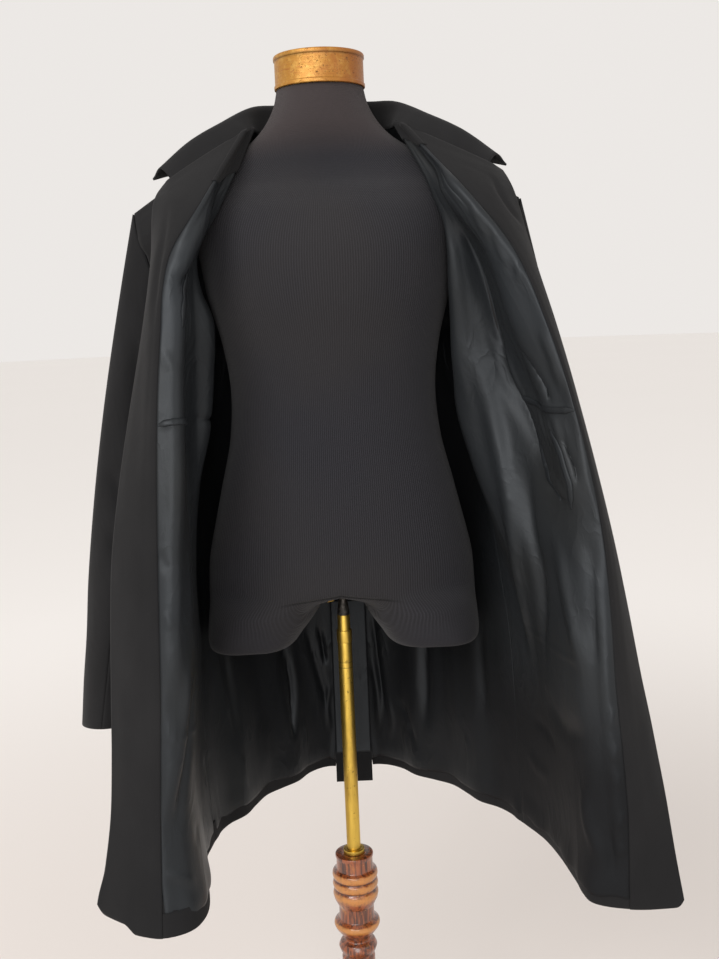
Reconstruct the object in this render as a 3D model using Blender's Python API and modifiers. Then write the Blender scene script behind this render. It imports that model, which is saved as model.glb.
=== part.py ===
"""A woman's coat held open on a dress form, in metres, +Z up, the open front towards -Y.

The coat hangs from the form's shoulders with both fronts turned back, so the facings and the
lining face forward. Every panel is cut from one master surface for each side. The surface goes
through named stations, from the front edge round to the centre back, at a few named heights.
"""

import math

import bmesh
import bpy
import numpy as np
from mathutils import Vector

LEFT = -1
RIGHT = 1
SIDE_NAMES = {LEFT: "left", RIGHT: "right"}

CLOTH_WALL = 0.002
LINING_WALL = 0.001
SEAM_GAP = 0.0003
LINING_SHOULDER_GAP = 0.0012
HEM_Z = 0.55
HEM_BAND = 0.025
UNDERARM_Z = 1.09
SEAT_DROP = 0.0020

# One row for each level of the coat, from the hem to the underarm and on to the shoulder.
# Columns are the stations of a front panel, each (depth across, depth back) from the pole axis,
# with a third value where a point lies off the row's own height.
FRONT_STATIONS = ("edge", "lapel", "seam", "ridge", "valley", "bend", "yoke", "side")
FRONT_ROWS = {
    RIGHT: {
        0.55: ((0.365, -0.262), (0.335, -0.264), (0.305, -0.262), (0.268, -0.246),
               (0.260, -0.203), (0.253, -0.150), (0.241, -0.096), (0.221, -0.049)),
        0.66: ((0.352, -0.235), (0.329, -0.251), (0.304, -0.260), (0.268, -0.240),
               (0.254, -0.190), (0.247, -0.137), (0.235, -0.085), (0.217, -0.040)),
        0.80: ((0.332, -0.200), (0.317, -0.226), (0.295, -0.245), (0.262, -0.228),
               (0.243, -0.178), (0.235, -0.125), (0.226, -0.074), (0.212, -0.025)),
        0.95: ((0.310, -0.165), (0.304, -0.192), (0.290, -0.215), (0.261, -0.196),
               (0.228, -0.132), (0.194, -0.078), (0.191, -0.030), (0.195, 0.014)),
        1.09: ((0.282, -0.128), (0.279, -0.157), (0.268, -0.183), (0.250, -0.135),
               (0.214, -0.078), (0.154, -0.038), (0.158, 0.004), (0.184, 0.048)),
        1.20: ((0.255, -0.110), (0.251, -0.137), (0.237, -0.160), (0.215, -0.120),
               (0.191, -0.070), (0.150, -0.052), (0.168, -0.012), (0.208, 0.000)),
        1.28: ((0.233, -0.095), (0.223, -0.120), (0.204, -0.140), (0.188, -0.112),
               (0.170, -0.075), (0.144, -0.070), (0.176, -0.030), (0.222, -0.006)),
        1.34: ((0.220, -0.070), (0.196, -0.099), (0.160, -0.115), (0.152, -0.100),
               (0.145, -0.086), (0.129, -0.068), (0.1705, -0.0347), (0.231, -0.006, 1.305)),
        1.40: ((0.211, -0.045, 1.366), (0.194, -0.055, 1.375), (0.098, -0.022, 1.426),
               (0.095, -0.016, 1.428), (0.092, -0.010, 1.430), (0.089, -0.004, 1.431),
               (0.160, 0.001, 1.3845), (0.237, 0.006, 1.337)),
    },
    LEFT: {
        0.55: ((0.285, -0.235), (0.246, -0.266), (0.205, -0.282), (0.173, -0.266),
               (0.163, -0.226), (0.171, -0.172), (0.181, -0.117), (0.176, -0.066)),
        0.66: ((0.266, -0.220), (0.238, -0.240), (0.205, -0.250), (0.180, -0.230),
               (0.174, -0.186), (0.178, -0.138), (0.184, -0.092), (0.183, -0.046)),
        0.80: ((0.259, -0.200), (0.231, -0.222), (0.198, -0.235), (0.168, -0.212),
               (0.168, -0.166), (0.174, -0.116), (0.181, -0.069), (0.186, -0.022)),
        0.95: ((0.253, -0.170), (0.227, -0.196), (0.195, -0.210), (0.167, -0.184),
               (0.173, -0.138), (0.172, -0.086), (0.178, -0.040), (0.188, 0.004)),
        1.09: ((0.232, -0.138), (0.215, -0.165), (0.191, -0.183), (0.167, -0.148),
               (0.180, -0.100), (0.162, -0.052), (0.163, -0.004), (0.184, 0.045)),
        1.20: ((0.210, -0.120), (0.200, -0.146), (0.183, -0.160), (0.164, -0.128),
               (0.170, -0.088), (0.150, -0.056), (0.166, -0.014), (0.204, 0.000)),
        1.28: ((0.199, -0.095), (0.190, -0.122), (0.171, -0.138), (0.153, -0.112),
               (0.158, -0.086), (0.152, -0.068), (0.176, -0.032), (0.217, -0.006)),
        1.34: ((0.197, -0.070), (0.171, -0.101), (0.134, -0.117), (0.130, -0.102),
               (0.127, -0.087), (0.119, -0.070), (0.168, -0.038), (0.227, -0.006, 1.303)),
        1.40: ((0.190, -0.045, 1.362), (0.177, -0.055, 1.372), (0.092, -0.022, 1.426),
               (0.089, -0.016, 1.428), (0.086, -0.010, 1.430), (0.083, -0.004, 1.431),
               (0.156, 0.001, 1.386), (0.233, 0.006, 1.337)),
    },
}

# The back at the same levels: how far the centre-back edge opens to the left and right, how far
# back it hangs, how strongly the row leaves the side seam and reaches the centre (1 is round,
# less is straighter), and where the back armhole is above the underarm (across, back, height).
BACK_ROWS = {
    0.55: (0.024, 0.030, 0.158, 0.35, 0.38, None),
    0.66: (0.012, 0.016, 0.161, 0.60, 0.65, None),
    0.80: (0.000, 0.000, 0.164, 1.05, 1.10, None),
    0.95: (0.000, 0.000, 0.163, 1.15, 1.25, None),
    1.09: (0.000, 0.000, 0.158, 1.10, 1.25, None),
    1.20: (0.000, 0.000, 0.151, 0.50, 1.20, (0.208, 0.086, 1.195)),
    1.28: (0.000, 0.000, 0.137, 0.40, 1.20, (0.226, 0.074, 1.265)),
    1.34: (0.000, 0.000, 0.116, 0.40, 1.10, (0.235, 0.045, 1.315)),
    1.40: (0.000, 0.000, 0.072, 0.40, 1.00, (0.237, 0.006, 1.337)),
}
NAPE_Z = 1.432
BACK_FOLDS = 3
BACK_FOLD_DEPTH = 0.011
BACK_FOLD_TOP_Z = 1.05
BACK_FOLD_MARGIN = 0.25
SHOULDER_ROUNDING = (0.0, 0.004, 0.004)

# How many strips each stretch between two stations or two levels is divided into.
FRONT_STRIPS = (2, 2, 2, 2, 2, 3, 3)
FACING_STRIPS = sum(FRONT_STRIPS[:2])
FRONT_TO_NECK = sum(FRONT_STRIPS[:5])
SHOULDER_STRIPS = sum(FRONT_STRIPS[5:])
BACK_NECK_STRIPS = 6
BACK_STRIPS = SHOULDER_STRIPS + BACK_NECK_STRIPS
LEVEL_STRIPS = {0.55: 2, 0.66: 2, 0.80: 2, 0.95: 2, 1.09: 2, 1.20: 2, 1.28: 1, 1.34: 2}

# The collar at stations from the centre back (0) to its end (1) along the neck seam: across, back
# and height of the roll on top of the stand, and of the outer edge of the fall.
COLLAR_STATIONS = (
    (0.00, (0.000, 0.084, 1.470), (0.000, 0.128, 1.404)),
    (0.22, (0.060, 0.068, 1.467), (0.086, 0.116, 1.396)),
    (0.47, (0.099, 0.022, 1.456), (0.142, 0.070, 1.392)),
    (0.64, (0.134, -0.014, 1.433), (0.178, 0.030, 1.388)),
    (0.82, (0.172, -0.024, 1.412), (0.204, 0.008, 1.381)),
    (1.00, (0.205, -0.034, 1.385), (0.220, -0.012, 1.375)),
)
COLLAR_SEAM_RISE = 0.0013
COLLAR_LEFT_SHRINK = 0.93
COLLAR_WALL = 0.0024
COLLAR_OVER_ROLL = (0.35, 0.35, 0.18)
COLLAR_DOWN_FALL = 0.7

SLEEVE_POINTS = 20
SLEEVE_RINGS = 8
CUFF_CENTRE = (0.315, 0.035, 0.685)
CUFF_HALF_ACROSS = 0.037
CUFF_HALF_BACK = 0.066
SLEEVE_BULGE = 0.012
ELBOW_FORWARD = 0.014
SLEEVE_CLEAR_TOP = 0.0010
SLEEVE_CLEAR_UNDER = 0.0050

VENT_FLAP_LEFT = -0.022
VENT_FLAP_RIGHT = 0.029
VENT_FLAP_TOP = (0.1602, 0.80)
VENT_FLAP_FOOT = (0.100, 0.550)
VENT_FLAP_SAG = 0.7
VENT_FLAP_COLUMNS = 4
VENT_FLAP_ROWS = 8

# The dress form's sections: height, half width, depth in front and depth behind the pole axis.
FORM_SECTIONS = (
    (0.868, 0.170, 0.099, 0.112),
    (0.905, 0.167, 0.100, 0.113),
    (0.950, 0.157, 0.098, 0.108),
    (1.000, 0.145, 0.095, 0.098),
    (1.055, 0.132, 0.090, 0.087),
    (1.116, 0.1275, 0.088, 0.081),
    (1.175, 0.135, 0.098, 0.086),
    (1.230, 0.149, 0.113, 0.092),
    (1.280, 0.157, 0.116, 0.096),
    (1.320, 0.168, 0.0990, 0.097),
    (1.345, 0.170, 0.0764, 0.084),
    (1.364, 0.160, 0.0555, 0.068),
    (1.382, 0.137, 0.0442, 0.055),
    (1.400, 0.107, 0.041, 0.048),
    (1.415, 0.084, 0.044, 0.047),
    (1.432, 0.068, 0.049, 0.050),
    (1.452, 0.057, 0.051, 0.051),
    (1.4715, 0.052, 0.050, 0.050),
)
FORM_POINTS = 36
FORM_LEVELS = 22
CROTCH_STRIPS = 6
STUB_CENTRE = 0.102
STUB_CENTRE_BACK = 0.004
STUB_LEVELS = ((0.845, 0.070, 0.098), (0.822, 0.068, 0.096), (0.803, 0.063, 0.091),
               (0.794, 0.051, 0.078), (0.792, 0.022, 0.042))

CAP_BOTTOM_Z = 1.4718
CAP_TOP_Z = 1.510
CAP_RADIUS = 0.0532
CAP_RIM_RADIUS = 0.0544
CAP_RIM = 0.0050
CAP_STEP = 0.0010

# Stand, heights above the floor.
TUBE_TOP_Z = 0.8495
UPPER_TUBE_RADIUS = 0.0080
UPPER_TUBE_BORE = 0.0068
UPPER_TUBE_BOTTOM_Z = 0.420
LOWER_TUBE_RADIUS = 0.0091
LOWER_TUBE_BORE = 0.00808
LOWER_TUBE_TOP_Z = 0.7852
LOWER_TUBE_BOTTOM_Z = 0.330
CLAMP_RING_RADIUS = 0.0106
CLAMP_RING_TOP_Z = 0.8010
SOCKET_RADIUS = 0.0095
SOCKET_TOP_Z = 0.8605
FERRULE_RADIUS = 0.0140
FERRULE_TOP_Z = 0.4990
COLUMN_TOP_Z = 0.4930
COLUMN_FOOT_Z = 0.0403
TURNED_POINTS = 20
TUBE_POINTS = 24
BASE_RADIUS = 0.200
BASE_THICKNESS = 0.040
BASE_EDGE_Z = 0.012
BASE_BOSS_RADIUS = 0.060
DISC_POINTS = 32

# The turned column from the top down: radius and height of each corner of its outline.
COLUMN_OUTLINE = (
    (0.0253, 0.4930), (0.0253, 0.4890), (0.0242, 0.4870), (0.0242, 0.4720),
    (0.0295, 0.4690), (0.0305, 0.4645), (0.0295, 0.4600), (0.0270, 0.4578),
    (0.0295, 0.4555), (0.0305, 0.4510), (0.0295, 0.4465), (0.0270, 0.4443),
    (0.0295, 0.4415), (0.0305, 0.4370), (0.0290, 0.4300), (0.0235, 0.4190),
    (0.0235, 0.4010), (0.0300, 0.3970), (0.0310, 0.3930), (0.0290, 0.3880),
    (0.0172, 0.3720), (0.0172, 0.3690), (0.0230, 0.3670), (0.0260, 0.3605),
    (0.0235, 0.3530), (0.0200, 0.3490), (0.0223, 0.3450), (0.0223, 0.2400),
    (0.0290, 0.2300), (0.0305, 0.2220), (0.0290, 0.2140), (0.0223, 0.2060),
    (0.0240, 0.1500), (0.0300, 0.1000), (0.0310, 0.0700), (0.0400, 0.0500),
    (0.0400, 0.0403),
)


def clear_scene():
    for old in list(bpy.data.objects):
        bpy.data.objects.remove(old, do_unlink=True)


def finish(name, colour, roughness, metallic=0.0):
    """A Principled material of the part's colour, roughness and metallic value."""
    material = bpy.data.materials.new(name)
    material.use_nodes = True
    principled = material.node_tree.nodes["Principled BSDF"]
    principled.inputs["Base Color"].default_value = (*colour, 1.0)
    principled.inputs["Roughness"].default_value = roughness
    principled.inputs["Metallic"].default_value = metallic
    material.diffuse_color = (*colour, 1.0)
    return material


def add_object(name, mesh, material, collection, smooth=True):
    obj = bpy.data.objects.new(name, mesh)
    mesh.materials.append(material)
    for face in mesh.polygons:
        face.use_smooth = smooth
    collection.objects.link(obj)
    return obj


def smooth_through(points, knots, at):
    """The smooth curve through points, one for each knot, at other values between the knots."""
    points = np.asarray(points, float)
    knots = np.asarray(knots, float)
    slopes = np.gradient(points, knots, axis=0)
    place = np.clip(np.searchsorted(knots, at, side="right") - 1, 0, len(knots) - 2)
    width = (knots[place + 1] - knots[place])[:, None]
    t = ((at - knots[place]) / width[:, 0])[:, None]
    start, end = points[place], points[place + 1]
    rise, fall = slopes[place] * width, slopes[place + 1] * width
    return (
        (2 * t**3 - 3 * t**2 + 1) * start
        + (t**3 - 2 * t**2 + t) * rise
        + (3 * t**2 - 2 * t**3) * end
        + (t**3 - t**2) * fall
    )


def curve_across(points, strips):
    """Points along the smooth curve through the stations, each stretch in its number of strips."""
    points = np.asarray(points, float)
    steps = np.linalg.norm(np.diff(points, axis=0), axis=1)
    knots = np.concatenate([[0.0], np.cumsum(np.sqrt(steps + 1e-6))])
    at = [knots[0]]
    for stretch, count in enumerate(strips):
        at.extend(np.linspace(knots[stretch], knots[stretch + 1], count + 1)[1:])
    return smooth_through(points, knots, np.array(at))


def level_heights():
    """The rows of the master surface, with one where the lining ends above the hem."""
    rows = []
    levels = list(FRONT_ROWS[RIGHT])
    for low, high in zip(levels, levels[1:]):
        rows.extend(np.linspace(low, high, LEVEL_STRIPS[low] + 1)[:-1])
    rows.append(levels[-1])
    rows.append(HEM_Z + HEM_BAND)
    return np.array(sorted(rows))


HEIGHTS = level_heights()


def front_stations(side):
    """Station points of a front for each row, as rows x stations x 3."""
    table = FRONT_ROWS[side]
    levels = list(table)
    columns = []
    for station in range(len(FRONT_STATIONS)):
        points = []
        for level in levels:
            entry = table[level][station]
            height = entry[2] if len(entry) == 3 else level
            points.append((side * entry[0], entry[1], height))
        columns.append(smooth_through(points, levels, HEIGHTS))
    return np.stack(columns, axis=1)


def master_front(side):
    """The front's surface, from the front edge to the side seam and armhole."""
    stations = front_stations(side)
    return np.stack([curve_across(row, FRONT_STRIPS) for row in stations])


def back_values():
    """The back's opening, hang and pulls for each row."""
    levels = list(BACK_ROWS)
    table = np.array([BACK_ROWS[level][:5] for level in levels])
    return smooth_through(table, levels, HEIGHTS)


def back_side_edge(side, front):
    """The back's side edge: the front's below the underarm, the back armhole above it."""
    levels = [level for level in BACK_ROWS if level >= UNDERARM_Z]
    below = HEIGHTS <= UNDERARM_Z + 1e-9
    points = [front[below][-1, -1]]
    for level in levels[1:]:
        across, back, height = BACK_ROWS[level][5]
        points.append((side * across, back, height))
    edge = front[:, -1].copy()
    edge[~below] = smooth_through(points, levels, HEIGHTS[~below])
    edge[-1] = front[-1, -1]
    return edge


def fold_wave(along, height):
    """How far the hanging back swells out, in folds that deepen towards the hem."""
    reach = np.clip((BACK_FOLD_TOP_Z - height) / (BACK_FOLD_TOP_Z - HEM_Z), 0.0, 1.0)
    swell = 0.5 - 0.5 * np.cos(2 * math.pi * BACK_FOLDS * along)
    inner = np.clip(np.minimum(along, 1.0 - along) / BACK_FOLD_MARGIN, 0.0, 1.0)
    return BACK_FOLD_DEPTH * reach**1.5 * swell * inner**2


def master_back(side, front):
    """The back's surface, from the side seam and armhole to the centre back.

    The strip beside the centre-back seam runs straight across, so both walls meet squarely.
    """
    edge = back_side_edge(side, front)
    along = np.linspace(0.0, 1.0, BACK_STRIPS + 1)[:, None]
    angle = along * math.pi / 2
    out = np.concatenate([side * np.cos(angle), np.sin(angle), 0 * angle], axis=1)
    rows = []
    for row, (start, values, height) in enumerate(zip(edge, back_values(), HEIGHTS)):
        opening = max(0.0, values[0] if side == LEFT else values[1])
        centre = np.array((side * opening, values[2], height))
        reach = np.linalg.norm(centre - start)
        leave = front[row, -1] - front[row, -2]
        if height > UNDERARM_Z + 1e-9:
            leave = np.array((0.0, 1.0, 0.0))
        leave = leave / np.linalg.norm(leave) * reach * values[3]
        arrive = np.array((-side * reach * values[4], 0.0, 0.0))
        points = (
            (2 * along**3 - 3 * along**2 + 1) * start
            + (along**3 - 2 * along**2 + along) * leave
            + (3 * along**2 - 2 * along**3) * centre
            + (along**3 - along**2) * arrive
        )
        rows.append(points + fold_wave(along, height) * out)
    surface = np.stack(rows)
    surface[-1] = shoulder_and_neck(front)
    surface[-2] = 0.5 * (surface[-1] + surface[-3]) + SHOULDER_ROUNDING
    surface[-2, 0] = edge[-2]
    surface[:, -1, 1:] = surface[:, -2, 1:]
    return surface


def shoulder_and_neck(front):
    """The back's top edge: the front's shoulder seam from the tip in, then round the neck."""
    shoulder = front[-1, FRONT_TO_NECK:][::-1]
    neck_point = shoulder[-1]
    angle = np.linspace(0.0, math.pi / 2, BACK_NECK_STRIPS + 1)[1:]
    hang = BACK_ROWS[1.40][2]
    neck = np.stack(
        [
            neck_point[0] * np.cos(angle),
            neck_point[1] + (hang - neck_point[1]) * np.sin(angle),
            neck_point[2] + (NAPE_Z - neck_point[2]) * np.sin(angle),
        ],
        axis=1,
    )
    neck[-1, 0] = 0.0
    return np.concatenate([shoulder, neck])


def outward(surface, side):
    """The unit direction away from the body at each point of a master surface."""
    across = np.gradient(surface, axis=1)
    up = np.gradient(surface, axis=0)
    normal = side * np.cross(across, up)
    return normal / np.linalg.norm(normal, axis=2, keepdims=True)


def pulled_in(points, gaps):
    """The grid with its first and last columns and rows drawn in by half the seam gap."""
    points = points.copy()
    for axis, (first, last) in enumerate(gaps):
        grid = points if axis == 0 else points.swapaxes(0, 1)
        for end, next_in, wanted in ((0, 1, first), (-1, -2, last)):
            if wanted:
                step = grid[next_in] - grid[end]
                length = np.linalg.norm(step, axis=1, keepdims=True)
                grid[end] += step / length * wanted
    return points


def grid_mesh(name, points, flip):
    """A mesh of quads over a grid of points, each quad starting at its low first corner."""
    rows, columns, _ = points.shape
    form = bmesh.new()
    verts = [[form.verts.new(point) for point in row] for row in points]
    for row in range(rows - 1):
        for column in range(columns - 1):
            corners = [
                verts[row][column],
                verts[row][column + 1],
                verts[row + 1][column + 1],
                verts[row + 1][column],
            ]
            form.faces.new([corners[0], *corners[:0:-1]] if flip else corners)
    mesh = bpy.data.meshes.new(name)
    form.to_mesh(mesh)
    form.free()
    return mesh


def add_cloth(name, points, flip, wall, material, collection):
    """A cloth wall on a grid of points, thickened along the faces' own direction."""
    obj = add_object(name, grid_mesh(name, points, flip), material, collection)
    split = obj.modifiers.new("Triangulate", "TRIANGULATE")
    split.quad_method = "FIXED"
    thicken = obj.modifiers.new("Solidify", "SOLIDIFY")
    thicken.thickness = wall
    thicken.offset = 1.0
    thicken.use_even_offset = True
    return obj


def build_side(side, finishes, collection):
    """All the flat-cut pieces of one side of the coat."""
    name = SIDE_NAMES[side]
    half = SEAM_GAP / 2
    front = master_front(side)
    back = master_back(side, front)
    front_out = outward(front, side)
    back_out = outward(back, side)
    lined = HEIGHTS >= HEM_Z + HEM_BAND - 1e-9
    top = LINING_SHOULDER_GAP
    cut = FACING_STRIPS
    outer_front = pulled_in(front + half * front_out, ((0, half), (0, half)))
    outer_back = pulled_in(back + half * back_out, ((0, half), (half, half)))
    facing = front[:, : cut + 1] - half * front_out[:, : cut + 1]
    facing = pulled_in(facing, ((0, half), (0, half)))
    front_lining = front[lined, cut:] - half * front_out[lined, cut:]
    front_lining = pulled_in(front_lining, ((0, top), (half, half)))
    back_lining = pulled_in(back[lined] - half * back_out[lined], ((0, top), (half, half)))

    away, inside = side < 0, side > 0
    cloth, satin = finishes["cloth"], finishes["lining"]
    pieces = [
        add_cloth(f"front_{name}", outer_front, away, CLOTH_WALL, cloth, collection),
        add_cloth(f"back_{name}", outer_back, away, CLOTH_WALL, cloth, collection),
        add_cloth(f"facing_{name}", facing, inside, LINING_WALL, cloth, collection),
        add_cloth(f"lining_front_{name}", front_lining, inside, LINING_WALL, satin, collection),
        add_cloth(f"lining_back_{name}", back_lining, inside, LINING_WALL, satin, collection),
    ]
    return pieces + build_sleeve(side, front, back, finishes, collection)


def armhole_ring(side, front, back):
    """Points round the armhole: from the shoulder tip down the front and up the back."""
    above = HEIGHTS >= UNDERARM_Z - 1e-9
    down_front = front[above, -1][::-1]
    up_back = back[above, 0][1:]
    loop = np.concatenate([down_front, up_back])
    steps = np.linalg.norm(np.diff(loop, axis=0), axis=1)
    length = np.concatenate([[0.0], np.cumsum(steps)])
    at = np.linspace(0.0, length[-1], SLEEVE_POINTS + 1)[:-1]
    return np.stack([np.interp(at, length, loop[:, axis]) for axis in range(3)], axis=1)


def build_sleeve(side, front, back, finishes, collection):
    """The top and under sleeve: a tube from the armhole to the open cuff, cut along two seams."""
    name = SIDE_NAMES[side]
    ring = armhole_ring(side, front, back)
    angle = np.linspace(0.0, 2 * math.pi, SLEEVE_POINTS + 1)[:-1]
    low = 0.5 - 0.5 * np.cos(angle)
    ring[:, 0] += side * (SLEEVE_CLEAR_TOP + (SLEEVE_CLEAR_UNDER - SLEEVE_CLEAR_TOP) * low)
    cuff = np.stack(
        [
            side * (CUFF_CENTRE[0] + CUFF_HALF_ACROSS * np.cos(angle)),
            CUFF_CENTRE[1] - CUFF_HALF_BACK * np.sin(angle),
            np.full(SLEEVE_POINTS, CUFF_CENTRE[2]),
        ],
        axis=1,
    )
    rows = []
    for along in np.linspace(0.0, 1.0, SLEEVE_RINGS + 1):
        points = ring + (cuff - ring) * along
        points[:, 0] += side * SLEEVE_BULGE * math.sin(math.pi * along) * np.cos(angle / 2) ** 2
        points[:, 1] -= ELBOW_FORWARD * math.sin(math.pi * along)
        rows.append(points)
    tube = np.stack(rows)
    tube = np.concatenate([tube, tube[:, :1]], axis=1)
    quarter = SLEEVE_POINTS // 4
    half = SEAM_GAP / 2
    over = np.concatenate([tube[:, 3 * quarter : -1], tube[:, : quarter + 1]], axis=1)
    under = tube[:, quarter : 3 * quarter + 1]
    cloth = finishes["cloth"]
    pieces = []
    for part, points in (("top_sleeve", over), ("under_sleeve", under)):
        points = pulled_in(points, ((0, 0), (half, half)))
        pieces.append(
            add_cloth(f"{part}_{name}", points, side < 0, CLOTH_WALL, cloth, collection)
        )
    return pieces


def neck_line(side):
    """The neck edge of one side's panels, from the centre back to the notch."""
    front = master_front(side)
    back = master_back(side, front)
    gorge = front[-1, FRONT_STRIPS[0] : FRONT_TO_NECK][::-1]
    return np.concatenate([back[-1, SHOULDER_STRIPS:][::-1], gorge])


def half_collar(side):
    """Rows of one half of the collar: up the stand, over the roll and down the fall."""
    shrink = np.array((side * (COLLAR_LEFT_SHRINK if side == LEFT else 1.0), 1.0, 1.0))
    seam = neck_line(side)
    seam[:, 2] += COLLAR_SEAM_RISE
    steps = np.linalg.norm(np.diff(seam, axis=0), axis=1)
    along = np.concatenate([[0.0], np.cumsum(steps)]) / steps.sum()
    knots = [station[0] for station in COLLAR_STATIONS]
    roll = smooth_through([station[1] * shrink for station in COLLAR_STATIONS], knots, along)
    edge = smooth_through([station[2] * shrink for station in COLLAR_STATIONS], knots, along)
    stand = 0.5 * (seam + roll)
    over = roll + (edge - roll) * COLLAR_OVER_ROLL
    fall = roll + COLLAR_DOWN_FALL * (edge - roll)
    return np.stack([seam, stand, roll, over, fall, edge])


def build_collar(finishes, collection):
    """One piece round the neck, from its left end to its right end."""
    left, right = half_collar(LEFT), half_collar(RIGHT)
    points = np.concatenate([left[:, ::-1], right[:, 1:]], axis=1)
    return add_cloth("collar", points, False, COLLAR_WALL, finishes["cloth"], collection)


def build_vent_flap(finishes, collection):
    """The narrow underlap that hangs inside the open vent."""
    across = np.linspace(VENT_FLAP_LEFT, VENT_FLAP_RIGHT, VENT_FLAP_COLUMNS)
    down = np.linspace(0.0, 1.0, VENT_FLAP_ROWS)
    points = np.zeros((len(down), len(across), 3))
    for row, along in enumerate(down):
        reach = along**VENT_FLAP_SAG
        depth = VENT_FLAP_FOOT[0] + (VENT_FLAP_TOP[0] - VENT_FLAP_FOOT[0]) * reach
        height = VENT_FLAP_FOOT[1] + (VENT_FLAP_TOP[1] - VENT_FLAP_FOOT[1]) * along
        points[row, :, 0] = across
        points[row, :, 1] = depth
        points[row, :, 2] = height
    return add_cloth("vent_underlap", points, False, CLOTH_WALL, finishes["cloth"], collection)


def form_ring(half_width, front, back, height, points):
    angle = np.linspace(0.0, 2 * math.pi, points + 1)[:-1]
    depth = np.where(np.sin(angle) < 0, front, back)
    return np.stack(
        [half_width * np.cos(angle), depth * np.sin(angle), np.full(points, height)], axis=1
    )


def build_form(finishes, collection):
    """The smooth trunk with its neck, and two short thigh stubs below the crotch."""
    sections = np.array(FORM_SECTIONS)
    knots = np.arange(len(sections), dtype=float)
    rows = smooth_through(sections, knots, np.linspace(0, knots[-1], FORM_LEVELS + 1))
    form = bmesh.new()
    rings = []
    for height, half_width, front, back in rows:
        ring = form_ring(half_width, front, back, height, FORM_POINTS)
        rings.append([form.verts.new(point) for point in ring])
    for low, high in zip(rings, rings[1:]):
        bridge(form, low, high)
    form.faces.new(rings[-1])
    add_stubs(form, rings[0])
    bmesh.ops.recalc_face_normals(form, faces=form.faces)
    mesh = bpy.data.meshes.new("dress_form")
    form.to_mesh(mesh)
    form.free()
    return add_object("dress_form", mesh, finishes["jersey"], collection)


def bridge(form, low, high):
    count = len(low)
    for index in range(count):
        after = (index + 1) % count
        form.faces.new((low[index], low[after], high[after], high[index]))


def add_stubs(form, waistline):
    """Parts the trunk's lowest ring along the crotch and draws each half down into a stub."""
    quarter = FORM_POINTS // 4
    behind, before = waistline[quarter], waistline[3 * quarter]
    crotch = []
    for step in range(1, CROTCH_STRIPS):
        point = behind.co.lerp(before.co, step / CROTCH_STRIPS)
        crotch.append(form.verts.new(point))
    right = waistline[3 * quarter :] + waistline[: quarter + 1] + crotch
    left = waistline[quarter : 3 * quarter + 1] + crotch[::-1]
    for side, loop in ((RIGHT, right), (LEFT, left)):
        upper = loop
        for height, half_across, half_back in STUB_LEVELS:
            lower = stub_ring(form, upper, side, height, half_across, half_back)
            bridge(form, lower, upper)
            upper = lower
        form.faces.new(upper[::-1])


def stub_ring(form, above, side, height, half_across, half_back):
    """A ring round a stub, each point on the ray from the stub's axis to the one above."""
    centre = Vector((side * STUB_CENTRE, STUB_CENTRE_BACK, height))
    ring = []
    for vert in above:
        ray = vert.co - centre
        angle = math.atan2(ray.y / half_back, ray.x / half_across)
        place = (half_across * math.cos(angle), half_back * math.sin(angle), 0.0)
        ring.append(form.verts.new(centre + Vector(place)))
    return ring


def turned(name, outline, points, material, collection):
    """A closed outline of (radius, height) turned round the pole axis."""
    mesh = bpy.data.meshes.new(name)
    corners = [(radius, 0.0, height) for radius, height in reversed(outline)]
    edges = [(i, (i + 1) % len(corners)) for i in range(len(corners))]
    if outline[0][0] == 0.0 and outline[-1][0] == 0.0:
        edges.pop()
    mesh.from_pydata(corners, edges, [])
    obj = add_object(name, mesh, material, collection)
    screw = obj.modifiers.new("Screw", "SCREW")
    screw.steps = points
    screw.render_steps = points
    screw.use_merge_vertices = True
    screw.merge_threshold = 0.0001
    screw.use_smooth_shade = True
    return obj


def sleeve_outline(radius, bore, bottom, top):
    """The outline of a plain tube, anticlockwise from the bore's foot."""
    return ((bore, bottom), (radius, bottom), (radius, top), (bore, top))


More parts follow.
